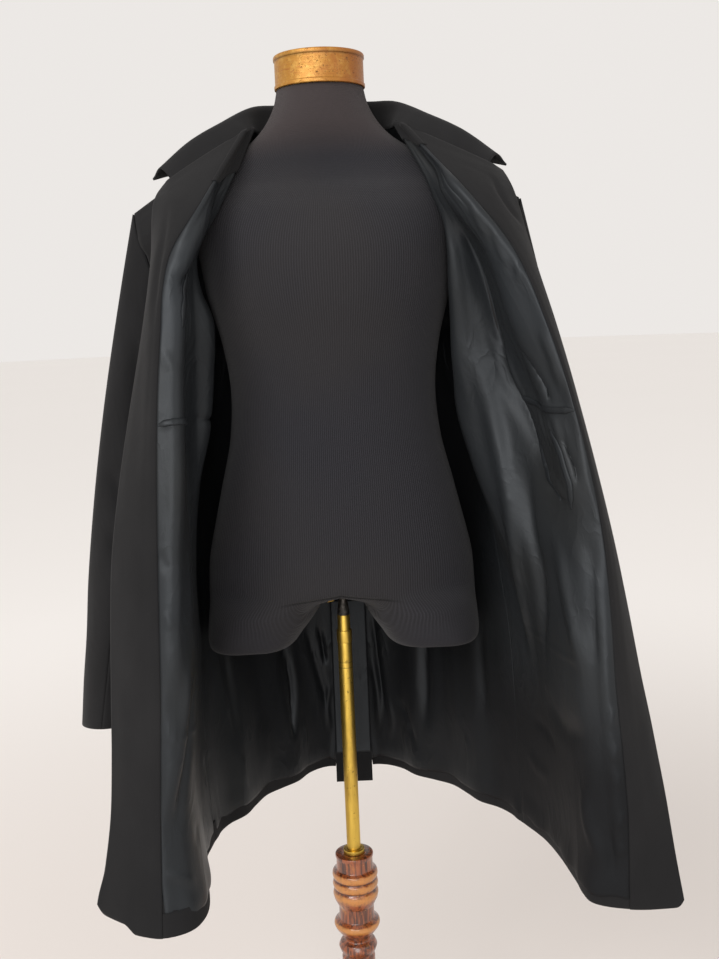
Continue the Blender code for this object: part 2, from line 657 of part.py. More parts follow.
def build_stand(finishes, collection):
    """Base, column, tubes and fittings, all turned round the pole axis."""
    wood, brass = finishes["wood"], finishes["brass"]
    hole = LOWER_TUBE_RADIUS + SEAM_GAP / 2
    column = list(COLUMN_OUTLINE[::-1])
    column += [(hole, COLUMN_TOP_Z), (hole, LOWER_TUBE_BOTTOM_Z - SEAM_GAP)]
    column += [(0.0, LOWER_TUBE_BOTTOM_Z - SEAM_GAP)]
    column = [(0.0, COLUMN_FOOT_Z)] + column
    turned("column", column, TURNED_POINTS, wood, collection)
    base = (
        (0.0, 0.0), (BASE_RADIUS, 0.0), (BASE_RADIUS, BASE_EDGE_Z),
        (BASE_RADIUS - 0.006, BASE_EDGE_Z + 0.008), (BASE_RADIUS - 0.025, BASE_EDGE_Z + 0.012),
        (BASE_BOSS_RADIUS + 0.010, BASE_THICKNESS - 0.006),
        (BASE_BOSS_RADIUS, BASE_THICKNESS), (0.0, BASE_THICKNESS),
    )
    turned("base", base, DISC_POINTS, wood, collection)
    lower = sleeve_outline(LOWER_TUBE_RADIUS, LOWER_TUBE_BORE, LOWER_TUBE_BOTTOM_Z, LOWER_TUBE_TOP_Z)
    turned("lower_tube", lower, TUBE_POINTS, brass, collection)
    ring = sleeve_outline(
        CLAMP_RING_RADIUS, LOWER_TUBE_BORE, LOWER_TUBE_TOP_Z + SEAM_GAP, CLAMP_RING_TOP_Z
    )
    turned("clamp_ring", ring, TUBE_POINTS, brass, collection)
    ferrule = sleeve_outline(
        FERRULE_RADIUS, LOWER_TUBE_RADIUS + SEAM_GAP / 2, COLUMN_TOP_Z + SEAM_GAP, FERRULE_TOP_Z
    )
    turned("ferrule", ferrule, TUBE_POINTS, brass, collection)
    upper = sleeve_outline(UPPER_TUBE_RADIUS, UPPER_TUBE_BORE, UPPER_TUBE_BOTTOM_Z, TUBE_TOP_Z)
    turned("upper_tube", upper, TUBE_POINTS, brass, collection)
    socket_foot = TUBE_TOP_Z + SEAM_GAP
    socket = (
        (0.0, socket_foot), (SOCKET_RADIUS, socket_foot), (SOCKET_RADIUS, SOCKET_TOP_Z),
        (0.0, SOCKET_TOP_Z),
    )
    turned("socket", socket, TUBE_POINTS, finishes["iron"], collection)
    cap = (
        (0.0, CAP_BOTTOM_Z), (CAP_RIM_RADIUS, CAP_BOTTOM_Z),
        (CAP_RIM_RADIUS, CAP_BOTTOM_Z + CAP_RIM - CAP_STEP), (CAP_RADIUS, CAP_BOTTOM_Z + CAP_RIM),
        (CAP_RADIUS, CAP_TOP_Z - CAP_RIM - CAP_STEP), (CAP_RIM_RADIUS, CAP_TOP_Z - CAP_RIM),
        (CAP_RIM_RADIUS, CAP_TOP_Z - CAP_STEP), (CAP_RIM_RADIUS - CAP_STEP, CAP_TOP_Z),
        (0.0, CAP_TOP_Z),
    )
    turned("neck_cap", cap, DISC_POINTS, finishes["gilt"], collection)


def hang_on_form(coat, collection):
    """Lets the coat down onto the form's shoulders, as one."""
    seat = bpy.data.objects.new("coat_seat", None)
    collection.objects.link(seat)
    seat.location.z = -SEAT_DROP
    for piece in coat:
        piece.parent = seat


def main():
    clear_scene()
    collection = bpy.data.collections.new("Coat_on_dress_form")
    bpy.context.scene.collection.children.link(collection)
    finishes = {
        "cloth": finish("black_wool_cloth", (0.013, 0.013, 0.014), 0.92),
        "lining": finish("slate_blue_lining", (0.030, 0.040, 0.050), 0.42),
        "jersey": finish("charcoal_jersey", (0.035, 0.035, 0.040), 0.90),
        "gilt": finish("gilt_cap", (0.55, 0.36, 0.12), 0.45),
        "brass": finish("aged_brass", (0.50, 0.36, 0.10), 0.35, 1.0),
        "iron": finish("dark_iron", (0.06, 0.055, 0.05), 0.50, 1.0),
        "wood": finish("varnished_wood", (0.22, 0.07, 0.022), 0.35),
    }
    build_form(finishes, collection)
    build_stand(finishes, collection)
    coat = []
    for side in (LEFT, RIGHT):
        coat += build_side(side, finishes, collection)
    coat.append(build_collar(finishes, collection))
    coat.append(build_vent_flap(finishes, collection))
    hang_on_form(coat, collection)


main()
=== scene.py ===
"""A lined wool coat held open on a dress form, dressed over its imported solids.

The coat is cut from one surface for each side, which goes through named stations from the front
edge round to the centre back at a few named heights. Every layer of cloth is laid from that
surface, so facing, lining and outer cloth keep to each other.
"""

from __future__ import annotations

import logging
import math
from dataclasses import dataclass, field
from enum import Enum

import bmesh
import bpy
import numpy as np
from mathutils import Matrix, Vector

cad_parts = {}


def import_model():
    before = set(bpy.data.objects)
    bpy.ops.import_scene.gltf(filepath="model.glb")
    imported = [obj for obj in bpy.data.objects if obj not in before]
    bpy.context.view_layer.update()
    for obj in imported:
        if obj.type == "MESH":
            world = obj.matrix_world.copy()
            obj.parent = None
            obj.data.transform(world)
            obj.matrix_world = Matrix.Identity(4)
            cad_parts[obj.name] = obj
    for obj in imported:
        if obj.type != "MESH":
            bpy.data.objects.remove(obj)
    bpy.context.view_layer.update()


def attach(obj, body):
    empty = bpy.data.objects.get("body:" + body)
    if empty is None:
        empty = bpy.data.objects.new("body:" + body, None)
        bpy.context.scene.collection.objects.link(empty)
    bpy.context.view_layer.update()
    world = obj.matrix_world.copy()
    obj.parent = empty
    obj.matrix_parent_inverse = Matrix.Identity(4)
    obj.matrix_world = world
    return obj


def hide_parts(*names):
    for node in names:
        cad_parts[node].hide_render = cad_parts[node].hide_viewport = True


log = logging.getLogger("coat")

FORM_BODY = "form"
STAND_BODY = "stand"


class Side(Enum):
    """The two sides of the coat, as the viewer sees them from the front."""

    LEFT = -1
    RIGHT = 1

    @property
    def word(self) -> str:
        """The side's name in the names of its pieces."""
        return self.name.lower()


class Held(Enum):
    """How a sheet of cloth is held."""

    HUNG = "hung"
    FOLDED = "folded"


class Shade:
    """A value or colour inside a finish, which can be reckoned with as a number can."""

    def __init__(self, board: Board, socket: bpy.types.NodeSocket) -> None:
        """Keeps the socket and the board it is on."""
        self.board = board
        self.socket = socket

    def __add__(self, other: Shade | float) -> Shade:
        """The sum."""
        return self.board.maths("ADD", self, other)

    __radd__ = __add__

    def __sub__(self, other: Shade | float) -> Shade:
        """The difference."""
        return self.board.maths("SUBTRACT", self, other)

    def __rsub__(self, other: float) -> Shade:
        """The difference, from the right."""
        return self.board.maths("SUBTRACT", other, self)

    def __mul__(self, other: Shade | float) -> Shade:
        """The product."""
        return self.board.maths("MULTIPLY", self, other)

    __rmul__ = __mul__

    def __pow__(self, other: float) -> Shade:
        """The power."""
        return self.board.maths("POWER", self, other)

    def __gt__(self, other: Shade | float) -> Shade:
        """One where this is the greater, else zero."""
        return self.board.maths("GREATER_THAN", self, other)

    def sine(self) -> Shade:
        """The sine."""
        return self.board.maths("SINE", self, 0.0)

    def size(self) -> Shade:
        """The value without its sign."""
        return self.board.maths("ABSOLUTE", self, 0.0)

    def step(self, low: float, high: float) -> Shade:
        """Zero at low, one at high and a smooth rise between."""
        settings = {"interpolation_type": "SMOOTHSTEP"}
        return self.board.node("ShaderNodeMapRange", settings, {0: self, 1: low, 2: high})


@dataclass(frozen=True)
class Finish:
    """A material and the name of its slot in the record."""

    material: bpy.types.Material
    slot: str


class Board:
    """The nodes of one finish."""

    def __init__(self, name: str) -> None:
        """Starts a material with its Principled shader.

        Args:
            name: the name of the material and of its slot.
        """
        self.name = name
        self.material = bpy.data.materials.new(name)
        self.material.use_nodes = True
        self.tree = self.material.node_tree
        self.shader = self.tree.nodes["Principled BSDF"]

    def node(self, kind: str, settings: dict | None = None, sockets: dict | None = None,
             out: int | str = 0) -> Shade:
        """Adds a node.

        Args:
            kind: the node's type.
            settings: its own settings, set first.
            sockets: values or links for its inputs, by name or place.
            out: the output that is wanted.

        Returns:
            That output.
        """
        made = self.tree.nodes.new(kind)
        for key, value in (settings or {}).items():
            setattr(made, key, value)
        for key, value in (sockets or {}).items():
            self.feed(made.inputs[key], value)
        return Shade(self, made.outputs[out])

    def feed(self, socket: bpy.types.NodeSocket, value: object) -> None:
        """Links or sets one input.

        Args:
            socket: the input.
            value: a Shade to link, or a plain value.
        """
        if isinstance(value, Shade):
            self.tree.links.new(value.socket, socket)
        else:
            socket.default_value = value

    def maths(self, what: str, first: Shade | float, second: Shade | float) -> Shade:
        """One sum of two values, by the operation's name."""
        return self.node("ShaderNodeMath", {"operation": what}, {0: first, 1: second})

    def mix(self, first: object, second: object, share: Shade | float) -> Shade:
        """A colour between two, the first at share zero."""
        settings = {"data_type": "RGBA"}
        return self.node("ShaderNodeMix", settings, {0: share, 6: first, 7: second}, 2)

    def place(self) -> Shade:
        """The place on the object, in metres."""
        return self.node("ShaderNodeTexCoord", out="Object")

    def laid(self) -> Shade:
        """The place on the flat cloth, in metres across and up."""
        return self.node("ShaderNodeUVMap", {"uv_map": "metres"})

    def stretched(self, where: Shade, by: tuple[float, float, float]) -> Shade:
        """A place scaled on each axis."""
        return self.node("ShaderNodeVectorMath", {"operation": "MULTIPLY"}, {0: where, 1: by})

    def apart(self, where: Shade) -> tuple[Shade, Shade, Shade]:
        """The three parts of a place.

        Args:
            where: the place.

        Returns:
            Its three shades.
        """
        made = self.node("ShaderNodeSeparateXYZ", sockets={0: where})
        outputs = made.socket.node.outputs
        return tuple(Shade(self, outputs[index]) for index in range(3))

    def cloud(self, where: Shade, scale: float, detail: float = 2.0, rough: float = 0.5,
              twist: float = 0.0) -> Shade:
        """Soft noise about one half.

        Args:
            where: the place.
            scale: how many swells in a metre.
            detail: how many finer octaves.
            rough: how strong they are.
            twist: how far it is distorted.

        Returns:
            The noise.
        """
        sockets = {"Vector": where, "Scale": scale, "Detail": detail, "Roughness": rough,
                   "Distortion": twist}
        return self.node("ShaderNodeTexNoise", {}, sockets)

    def relief(self, height: Shade, strength: float, distance: float,
               under: Shade | None = None) -> Shade:
        """A bumped normal.

        Args:
            height: the height of the relief.
            strength: how strongly it shows.
            distance: how high a height of one is, in metres.
            under: a coarser relief below it.

        Returns:
            The normal.
        """
        sockets = {"Strength": strength, "Distance": distance, "Height": height}
        if under:
            sockets["Normal"] = under
        return self.node("ShaderNodeBump", {}, sockets)

    def finish(self, **sockets: object) -> Finish:
        """Sets the shader's inputs.

        Args:
            **sockets: each input by its name, with low lines for blanks.

        Returns:
            The finish.
        """
        for key, value in sockets.items():
            self.feed(self.shader.inputs[key.replace("_", " ")], value)
        return Finish(self.material, self.name)


Colour = tuple[float, float, float, float]


def tone(red: float, green: float, blue: float) -> Colour:
    """An opaque colour in linear light."""
    return (red, green, blue, 1.0)


@dataclass(frozen=True)
class WoolCloth:
    """Dense black wool crepe with a faint pebble and a little lint."""

    name: str = "wool_cloth"
    ground: Colour = tone(0.0080, 0.0079, 0.0084)
    worn: Colour = tone(0.0146, 0.0143, 0.0150)
    lint: Colour = tone(0.080, 0.080, 0.080)

    def made(self) -> Finish:
        """Builds the finish.

        Returns:
            The finish.
        """
        board = Board(self.name)
        laid = board.laid()
        pebble = board.cloud(laid, 1100.0, 3.0, 0.6, 0.6)
        mottle = board.cloud(board.stretched(laid, (9.0, 5.0, 1.0)), 1.0, 3.0, 0.55)
        nap = board.cloud(board.stretched(laid, (300.0, 120.0, 1.0)), 1.0, 2.0, 0.6)
        colour = board.mix(self.ground, self.worn, mottle.step(0.30, 0.74) * 0.7 + nap * 0.3)
        specks = board.cloud(laid, 310.0, 1.0, 0.4)
        colour = board.mix(colour, self.lint, specks.step(0.80, 0.86) * 0.5)
        slow = board.relief(board.cloud(laid, 26.0, 2.0, 0.5, 0.3), 0.35, 0.0035)
        normal = board.relief(pebble + nap * 0.5, 0.35, 0.0006, slow)
        return board.finish(Base_Color=colour, Roughness=0.86 + nap * 0.1, Normal=normal,
                            Specular_IOR_Level=0.16, Sheen_Weight=0.03, Sheen_Roughness=0.5)


@dataclass(frozen=True)
class SatinLining:
    """Slate satin: fine ribs of weave, soft long wrinkles and crossing pressed lines, with painted shade
    on the lower right front and towards the back.
    """

    name: str = "satin_lining"
    ground: Colour = tone(0.0098, 0.0106, 0.0114)
    light: Colour = tone(0.0200, 0.0226, 0.0256)
    warm: Colour = tone(0.0170, 0.0168, 0.0156)
    shade: Colour = tone(0.0026, 0.0025, 0.0030)

    def made(self) -> Finish:
        """Builds the finish.

        Returns:
            The finish.
        """
        board = Board(self.name)
        laid = board.laid()
        across, up, _ = board.apart(laid)
        weave = (across * 9000.0).sine() * 0.5 + (up * 5200.0).sine() * 0.25
        crumple = board.cloud(board.stretched(laid, (150.0, 95.0, 1.0)), 1.0, 3.0, 0.65, 0.4)
        tint = board.cloud(board.stretched(laid, (5.0, 2.2, 1.0)), 1.0, 3.0, 0.55, 0.4)
        fleck = board.cloud(board.stretched(laid, (900.0, 260.0, 1.0)), 1.0, 2.0, 0.6)
        colour = board.mix(self.ground, self.light, tint.step(0.32, 0.72) * 0.75 + fleck * 0.25)
        colour = board.mix(colour, self.warm, board.cloud(laid, 3.1, 2.0).step(0.45, 0.70) * 0.6)
        aside, behind, high = board.apart(board.place())
        # Painted shade: the lining low on the right front is darkened with the shade colour, and made
        # rougher there.
        low = high.step(0.80, 0.68) * aside.step(0.10, 0.22)
        colour = board.mix(colour, self.shade, low * 0.92)
        # Painted shade: the lining towards the back is darkened as well.
        colour = board.mix(colour, self.shade, behind.step(0.02, 0.09) * 0.62)
        drapes = board.cloud(board.stretched(laid, (17.0, 7.0, 1.0)), 1.0, 2.0, 0.45, 0.5)
        folds = (1.0 - (drapes * 2.0 - 1.0).size()) ** 3.0
        wrinkles = board.cloud(board.stretched(laid, (44.0, 21.0, 1.0)), 1.0, 2.0, 0.5, 0.5)
        ridged = (1.0 - (wrinkles * 2.0 - 1.0).size()) ** 6.0
        patch = board.cloud(laid, 9.0, 2.0).step(0.42, 0.66)
        slow = board.relief(folds * 0.7 + drapes * 0.6, 0.30, 0.0034)
        quick = board.relief(ridged * patch, 0.42, 0.0012, slow)
        fine = board.relief(crumple, 0.30, 0.0009, quick)
        normal = board.relief(weave, 0.12, 0.00006, fine)
        rough = 0.38 + fleck * 0.10 + low * 0.28
        return board.finish(Base_Color=colour, Roughness=rough, Normal=normal,
                            Specular_IOR_Level=0.22, Specular_Tint=tone(0.90, 0.95, 1.0))


@dataclass(frozen=True)
class JerseyCover:
    """Charcoal stretch jersey in fine upright ribs, with painted shade along the front crotch crease."""

    name: str = "jersey_cover"
    ribs: float = 268.0
    ground: Colour = tone(0.0076, 0.0075, 0.0092)
    light: Colour = tone(0.0282, 0.0274, 0.0328)
    faded: Colour = tone(0.0460, 0.0365, 0.0365)
    crease_z: float = 0.871

    def made(self) -> Finish:
        """Builds the finish.

        Returns:
            The finish.
        """
        board = Board(self.name)
        laid = board.laid()
        round_it, up, _ = board.apart(laid)
        wander = board.cloud(board.stretched(laid, (8.0, 9.0, 1.0)), 1.0, 2.0)
        rib = ((round_it * self.ribs + wander * 0.7) * (2.0 * math.pi)).sine() * 0.5
        rib = rib * (up.step(0.805, 0.862) * 0.85 + 0.15) + 0.5
        knit = (up * 3300.0 + (round_it * self.ribs * 2.0 * math.pi).sine() * 1.2).sine()
        fuzz = board.cloud(board.place(), 900.0, 3.0, 0.7)
        share = rib ** 1.6 * 0.62 + fuzz * 0.34 + knit * 0.06
        colour = board.mix(self.ground, self.light, share)
        cool = board.cloud(board.place(), 4.0, 2.0)
        colour = board.mix(colour, tone(0.0225, 0.0205, 0.0205), cool.step(0.42, 0.66) * 0.5)
        # Lighter and warmer towards the top of the neck.
        colour = board.mix(colour, self.faded, up.step(1.385, 1.43) * 0.75)
        across, back, _ = board.apart(board.place())
        # Painted shade: a dark line along the crease over the front of the crotch, pressed in by the
        # bump as well.
        off_line = (up - self.crease_z + across.size() * 0.16).size()
        crease = off_line.step(0.0024, 0.0003) * across.size().step(0.085, 0.045)
        crease = crease * (0.0 - back).step(0.02, 0.05)
        colour = board.mix(colour, tone(0.004, 0.004, 0.004), crease * 0.85)
        normal = board.relief(rib + knit * 0.15 + fuzz * 0.4 - crease * 2.0, 0.55, 0.0009)
        return board.finish(Base_Color=colour, Roughness=0.93, Normal=normal,
                            Specular_IOR_Level=0.18, Sheen_Weight=0.07)


@dataclass(frozen=True)
class GiltCap:
    """Worn gilt paint: yellow towards the left, brown towards the right, scratched all over."""

    name: str = "gilt_cap"
    gold: Colour = tone(0.385, 0.176, 0.024)
    pale: Colour = tone(0.47, 0.248, 0.050)
    brown: Colour = tone(0.28, 0.085, 0.014)
    dark: Colour = tone(0.045, 0.025, 0.012)

    def made(self) -> Finish:
        """Builds the finish.

        Returns:
            The finish.
        """
        board = Board(self.name)
        place = board.place()
        across, _, up = board.apart(place)
        blots = board.cloud(place, 55.0, 4.0, 0.65, 0.8)
        side = (across * 9.0 + blots * 0.9 - 0.20).step(0.0, 0.75)
        colour = board.mix(self.gold, self.pale, board.cloud(place, 140.0, 3.0).step(0.42, 0.7))
        colour = board.mix(colour, self.brown, side * 0.80)
        streaks = board.cloud(board.stretched(place, (60.0, 60.0, 420.0)), 1.0, 3.0, 0.7)
        colour = board.mix(colour, self.brown, streaks.step(0.50, 0.74) * 0.65)
        pits = board.cloud(place, 330.0, 3.0, 0.75).step(0.60, 0.72)
        colour = board.mix(colour, self.dark, pits * 0.75)
        brim = (up - 1.5045).size().step(0.0028, 0.0004)
        colour = board.mix(colour, self.dark, brim * 0.35)
        normal = board.relief(blots + pits * -0.8 + streaks * 0.5, 0.5, 0.0011)
        return board.finish(Base_Color=colour, Roughness=0.42 + pits * 0.3, Normal=normal,
                            Metallic=0.45)


@dataclass(frozen=True)
class AgedBrass:
    """Drawn brass tube, satin from handling, with brown spots and long scratches."""

    name: str = "aged_brass"
    bright: Colour = tone(0.72, 0.49, 0.095)
    dull: Colour = tone(0.40, 0.245, 0.046)
    spot: Colour = tone(0.055, 0.035, 0.015)
    rings: tuple[float, float] = (0.7514, 0.7586)

    def made(self) -> Finish:
        """Builds the finish.

        Returns:
            The finish.
        """
        board = Board(self.name)
        place = board.place()
        film = board.cloud(board.stretched(place, (40.0, 40.0, 14.0)), 1.0, 4.0, 0.6, 0.5)
        drawn = board.cloud(board.stretched(place, (900.0, 900.0, 16.0)), 1.0, 2.0, 0.6)
        spots = board.cloud(place, 210.0, 4.0, 0.7).step(0.60, 0.70)
        colour = board.mix(self.bright, self.dull, film.step(0.36, 0.68) * 0.85 + drawn * 0.15)
        colour = board.mix(colour, self.spot, spots * 0.70)
        _, _, up = board.apart(place)
        low, high = ((up - ring).size().step(0.0009, 0.0003) for ring in self.rings)
        rings = low + high
        colour = board.mix(colour, self.spot, rings * 0.55)
        normal = board.relief(film + drawn * 0.4 - spots * 0.6 - rings, 0.35, 0.0007)
        rough = 0.30 + film * 0.22 + spots * 0.25
        return board.finish(Base_Color=colour, Roughness=rough, Normal=normal, Metallic=1.0)


@dataclass(frozen=True)
class DarkIron:
    """Oiled dark iron."""

    name: str = "dark_iron"

    def made(self) -> Finish:
        """Builds the finish.

        Returns:
            The finish.
        """
        board = Board(self.name)
        grime = board.cloud(board.place(), 260.0, 4.0, 0.65)
        colour = board.mix(tone(0.030, 0.027, 0.024), tone(0.11, 0.10, 0.09), grime.step(0.4, 0.75))
        normal = board.relief(grime, 0.5, 0.0006)
        return board.finish(Base_Color=colour, Roughness=0.38 + grime * 0.25, Normal=normal,
                            Metallic=0.85)


@dataclass(frozen=True)
class VarnishedWood:
    """Reddish varnish over turned wood, rubbed to gold on the proud edges."""

    name: str = "varnished_wood"
    red: Colour = tone(0.28, 0.070, 0.018)
    deep: Colour = tone(0.050, 0.012, 0.005)
    gold: Colour = tone(0.53, 0.215, 0.040)

    def made(self) -> Finish:
        """Builds the finish.

        Returns:
            The finish.
        """
        board = Board(self.name)
        place = board.place()
        across, back, up = board.apart(place)
        radius = (across * across + back * back) ** 0.5
        grain = board.cloud(board.stretched(place, (240.0, 240.0, 14.0)), 1.0, 4.0, 0.6, 0.8)
        blots = board.cloud(place, 38.0, 4.0, 0.6, 0.6)
        chips = board.cloud(board.stretched(place, (130.0, 130.0, 300.0)), 1.0, 3.0, 0.7)
        colour = board.mix(self.deep, self.red, grain.step(0.38, 0.60))
        colour = board.mix(colour, self.gold, blots.step(0.56, 0.76) * 0.45)
        proud = (radius + chips * 0.004).step(0.0300, 0.0325) * (1.0 - (radius > 0.05))
        groove = (up - 0.4443).size().step(0.0016, 0.0) + (up - 0.4578).size().step(0.0016, 0.0)
        colour = board.mix(colour, self.gold, proud * 0.80)
        colour = board.mix(colour, self.deep, groove * 0.9)
        worn = chips.step(0.62, 0.72) * (up > 0.41)
        colour = board.mix(colour, self.gold, worn * 0.55)
        normal = board.relief(grain * 0.7 + chips * 0.3, 0.30, 0.0007)
        rough = 0.25 + blots * 0.12 + proud * 0.12
        return board.finish(Base_Color=colour, Roughness=rough, Normal=normal, Coat_Weight=0.7,
                            Coat_Roughness=0.16)


@dataclass(frozen=True)
class PaleRoom:
    """Warm white floor, with painted shade darkening it round the stand."""

    name: str = "pale_room"
    near: Colour = tone(0.720, 0.672, 0.640)
    far: Colour = tone(0.970, 0.950, 0.930)

    def made(self) -> Finish:
        """Builds the finish.

        Returns:
            The finish.
        """
        board = Board(self.name)
        across, back, _ = board.apart(board.place())
        away = (across * across + back * back) ** 0.5
        cloud = board.cloud(board.place(), 0.5, 2.0)
        # Painted shade: the floor is darker near the stand and grows lighter with distance.
        colour = board.mix(self.near, self.far, away.step(0.5, 3.3) * 0.94 + cloud * 0.06)
        return board.finish(Base_Color=colour, Roughness=0.95, Specular_IOR_Level=0.1)


@dataclass
class Finishes:
    """Every finish, built once."""

    wool: Finish = field(default_factory=lambda: WoolCloth().made())
    satin: Finish = field(default_factory=lambda: SatinLining().made())
    jersey: Finish = field(default_factory=lambda: JerseyCover().made())
    gilt: Finish = field(default_factory=lambda: GiltCap().made())
    brass: Finish = field(default_factory=lambda: AgedBrass().made())
    iron: Finish = field(default_factory=lambda: DarkIron().made())
    wood: Finish = field(default_factory=lambda: VarnishedWood().made())
    room: Finish = field(default_factory=lambda: PaleRoom().made())


def summed(steps: np.ndarray) -> np.ndarray:
    """The running sum of steps, from zero."""
    return np.concatenate([[0.0], np.cumsum(steps)])


def curved(t: np.ndarray, start: np.ndarray, leave: np.ndarray, end: np.ndarray,
           arrive: np.ndarray) -> np.ndarray:
    """The cubic curve between two points.

    Args:
        t: how far along, from zero to one.
        start: the first point.
        leave: the slope there.
        end: the last point.
        arrive: the slope there.

    Returns:
        The points of the curve.
    """
    return (
        (2 * t**3 - 3 * t**2 + 1) * start
        + (t**3 - 2 * t**2 + t) * leave
        + (3 * t**2 - 2 * t**3) * end
        + (t**3 - t**2) * arrive
    )


def smooth_through(points: np.ndarray, knots: np.ndarray, at: np.ndarray) -> np.ndarray:
    """The smooth curve through points at other values between their knots.

    Args:
        points: one row for each knot.
        knots: the rising values of the rows.
        at: the values wanted.

    Returns:
        One row for each value wanted.
    """
    points = np.asarray(points, float)
    knots = np.asarray(knots, float)
    slopes = np.gradient(points, knots, axis=0)
    spot = np.clip(np.searchsorted(knots, at, side="right") - 1, 0, len(knots) - 2)
    width = (knots[spot + 1] - knots[spot])[:, None]
    t = ((at - knots[spot]) / width[:, 0])[:, None]
    return curved(t, points[spot], slopes[spot] * width, points[spot + 1], slopes[spot + 1] * width)


def running_length(points: np.ndarray) -> np.ndarray:
    """The length from the first point to each point of a line."""
    return summed(np.linalg.norm(np.diff(points, axis=0), axis=-1))


def eased(share: np.ndarray) -> np.ndarray:
    """A share from zero to one with a soft start and end."""
    share = np.clip(share, 0.0, 1.0)
    return share * share * (3.0 - 2.0 * share)


@dataclass(frozen=True)
class Crease:
    """A trough (deep above zero) or ridge (below zero) along a line of (station, height) places."""

    line: tuple[tuple[float, float], ...]
    deep: float
    wide: float
    fade: float = 0.35


@dataclass
class Surface:
    """A fine grid of points, with the station of each column and the height of each row."""

    points: np.ndarray
    stations: np.ndarray
    heights: np.ndarray

    @classmethod
    def through(cls, coarse: np.ndarray, stations: np.ndarray, heights: np.ndarray,
                pitch: tuple[float, float]) -> Surface:
        """The fine surface through a coarse grid.

        Args:
            coarse: points as rows x columns x 3.
            stations: the station of each coarse column.
            heights: the height of each coarse row.
            pitch: how far apart the fine rows and columns are.

        Returns:
            The surface.
        """
        upward = running_length(coarse.mean(axis=1))
        across = summed(np.linalg.norm(np.diff(coarse, axis=1), axis=2).mean(axis=0))
        rows = cls.divided(upward, pitch[0])
        columns = cls.divided(across, pitch[1])
        row_heights = np.interp(rows, np.arange(len(upward)), heights)
        column_knots = np.interp(columns, np.arange(len(across)), across)
        tall = smooth_through(coarse.reshape(len(upward), -1), heights, row_heights)
        tall = tall.reshape(len(rows), len(across), 3).swapaxes(0, 1)
        full = smooth_through(tall.reshape(len(across), -1), across, column_knots)
        full = full.reshape(len(columns), len(rows), 3).swapaxes(0, 1)
        return cls(full, np.interp(columns, np.arange(len(across)), stations), row_heights)

    @staticmethod
    def divided(length: np.ndarray, pitch: float) -> np.ndarray:
        """Fine places between coarse ones, as shares of their numbers.

        Args:
            length: the running length at each coarse place.
            pitch: how far apart the fine ones are.

        Returns:
            The fine places, each coarse one among them.
        """
        places = [np.zeros(1)]
        for index, step in enumerate(np.diff(length)):
            count = max(1, round(step / pitch))
            places.append(index + np.arange(1, count + 1) / count)
        return np.concatenate(places)

    def facing_out(self, side: Side) -> np.ndarray:
        """The direction away from the body at each point.

        Args:
            side: which side of the coat.

        Returns:
            The unit directions.
        """
        across = np.gradient(self.points, axis=1)
        up = np.gradient(self.points, axis=0)
        normal = side.value * np.cross(across, up)
        return normal / np.maximum(np.linalg.norm(normal, axis=2, keepdims=True), 1e-12)

    def moved(self, by: np.ndarray | float, direction: np.ndarray) -> Surface:
        """The surface moved, by one length or one for each point, along unit directions."""
        share = by[:, :, None] if isinstance(by, np.ndarray) else by
        return Surface(self.points + share * direction, self.stations, self.heights)

    def drawn(self, rows: tuple[float, float], columns: tuple[float, float]) -> Surface:
        """The surface with its end rows and columns drawn in.

        Args:
            rows: how far the first and last rows go.
            columns: how far the first and last columns go.

        Returns:
            The surface.
        """
        points = self.points.copy()
        for grid, gaps in ((points, rows), (points.swapaxes(0, 1), columns)):
            for end, next_in, wanted in ((0, 1, gaps[0]), (-1, -2, gaps[1])):
                step = grid[next_in] - grid[end]
                length = np.linalg.norm(step, axis=1, keepdims=True)
                grid[end] += step / np.maximum(length, 1e-9) * wanted
        return Surface(points, self.stations, self.heights)

    def part(self, rows: np.ndarray, columns: np.ndarray) -> Surface:
        """The rows and columns picked by two masks."""
        return Surface(self.points[rows][:, columns], self.stations[columns], self.heights[rows])

    def spot(self, station: float, height: float) -> np.ndarray:
        """The point at a station and height.

        Args:
            station: its station.
            height: its height.

        Returns:
            The point.
        """
        column = np.interp(station, self.stations, np.arange(len(self.stations)))
        row = np.interp(height, self.heights, np.arange(len(self.heights)))
        low_row, low_column = int(row), int(column)
        high_row = min(low_row + 1, len(self.heights) - 1)
        high_column = min(low_column + 1, len(self.stations) - 1)
        up, over = row - low_row, column - low_column
        low = self.points[low_row, low_column] * (1 - over) + self.points[low_row, high_column] * over
        high = self.points[high_row, low_column] * (1 - over)
        high = high + self.points[high_row, high_column] * over
        return low * (1 - up) + high * up

    def relief(self, creases: tuple[Crease, ...]) -> np.ndarray:
        """How far the creases push each point outwards.

        Args:
            creases: the troughs and ridges.

        Returns:
            The push at each point, in metres.
        """
        push = np.zeros(self.points.shape[:2])
        for crease in creases:
            line = np.array([self.spot(*place) for place in crease.line])
            length = running_length(line)
            fine = smooth_through(line, length, np.linspace(0.0, length[-1], 4 * len(line)))
            away, share = self.nearest(fine)
            ends = eased(np.minimum(share, 1.0 - share) / crease.fade)
            push += crease.deep * ends * np.exp(-((away / crease.wide) ** 2.0))
        return push

    def nearest(self, line: np.ndarray) -> tuple[np.ndarray, np.ndarray]:
        """The distance from each point to a line, and how far along it that is.

        Args:
            line: the line's points.

        Returns:
            The distance and the share of the line.
        """
        best = np.full(self.points.shape[:2], np.inf)
        share = np.zeros(self.points.shape[:2])
        lengths = running_length(line)
        for index, (start, end) in enumerate(zip(line, line[1:])):
            step = end - start
            span = max(float(step @ step), 1e-12)
            t = np.clip(((self.points - start) @ step) / span, 0.0, 1.0)
            away = np.linalg.norm(self.points - start - t[:, :, None] * step, axis=2)
            closer = away < best
            best = np.where(closer, away, best)
            reached = (lengths[index] + t * math.sqrt(span)) / lengths[-1]
            share = np.where(closer, reached, share)
        return best, share

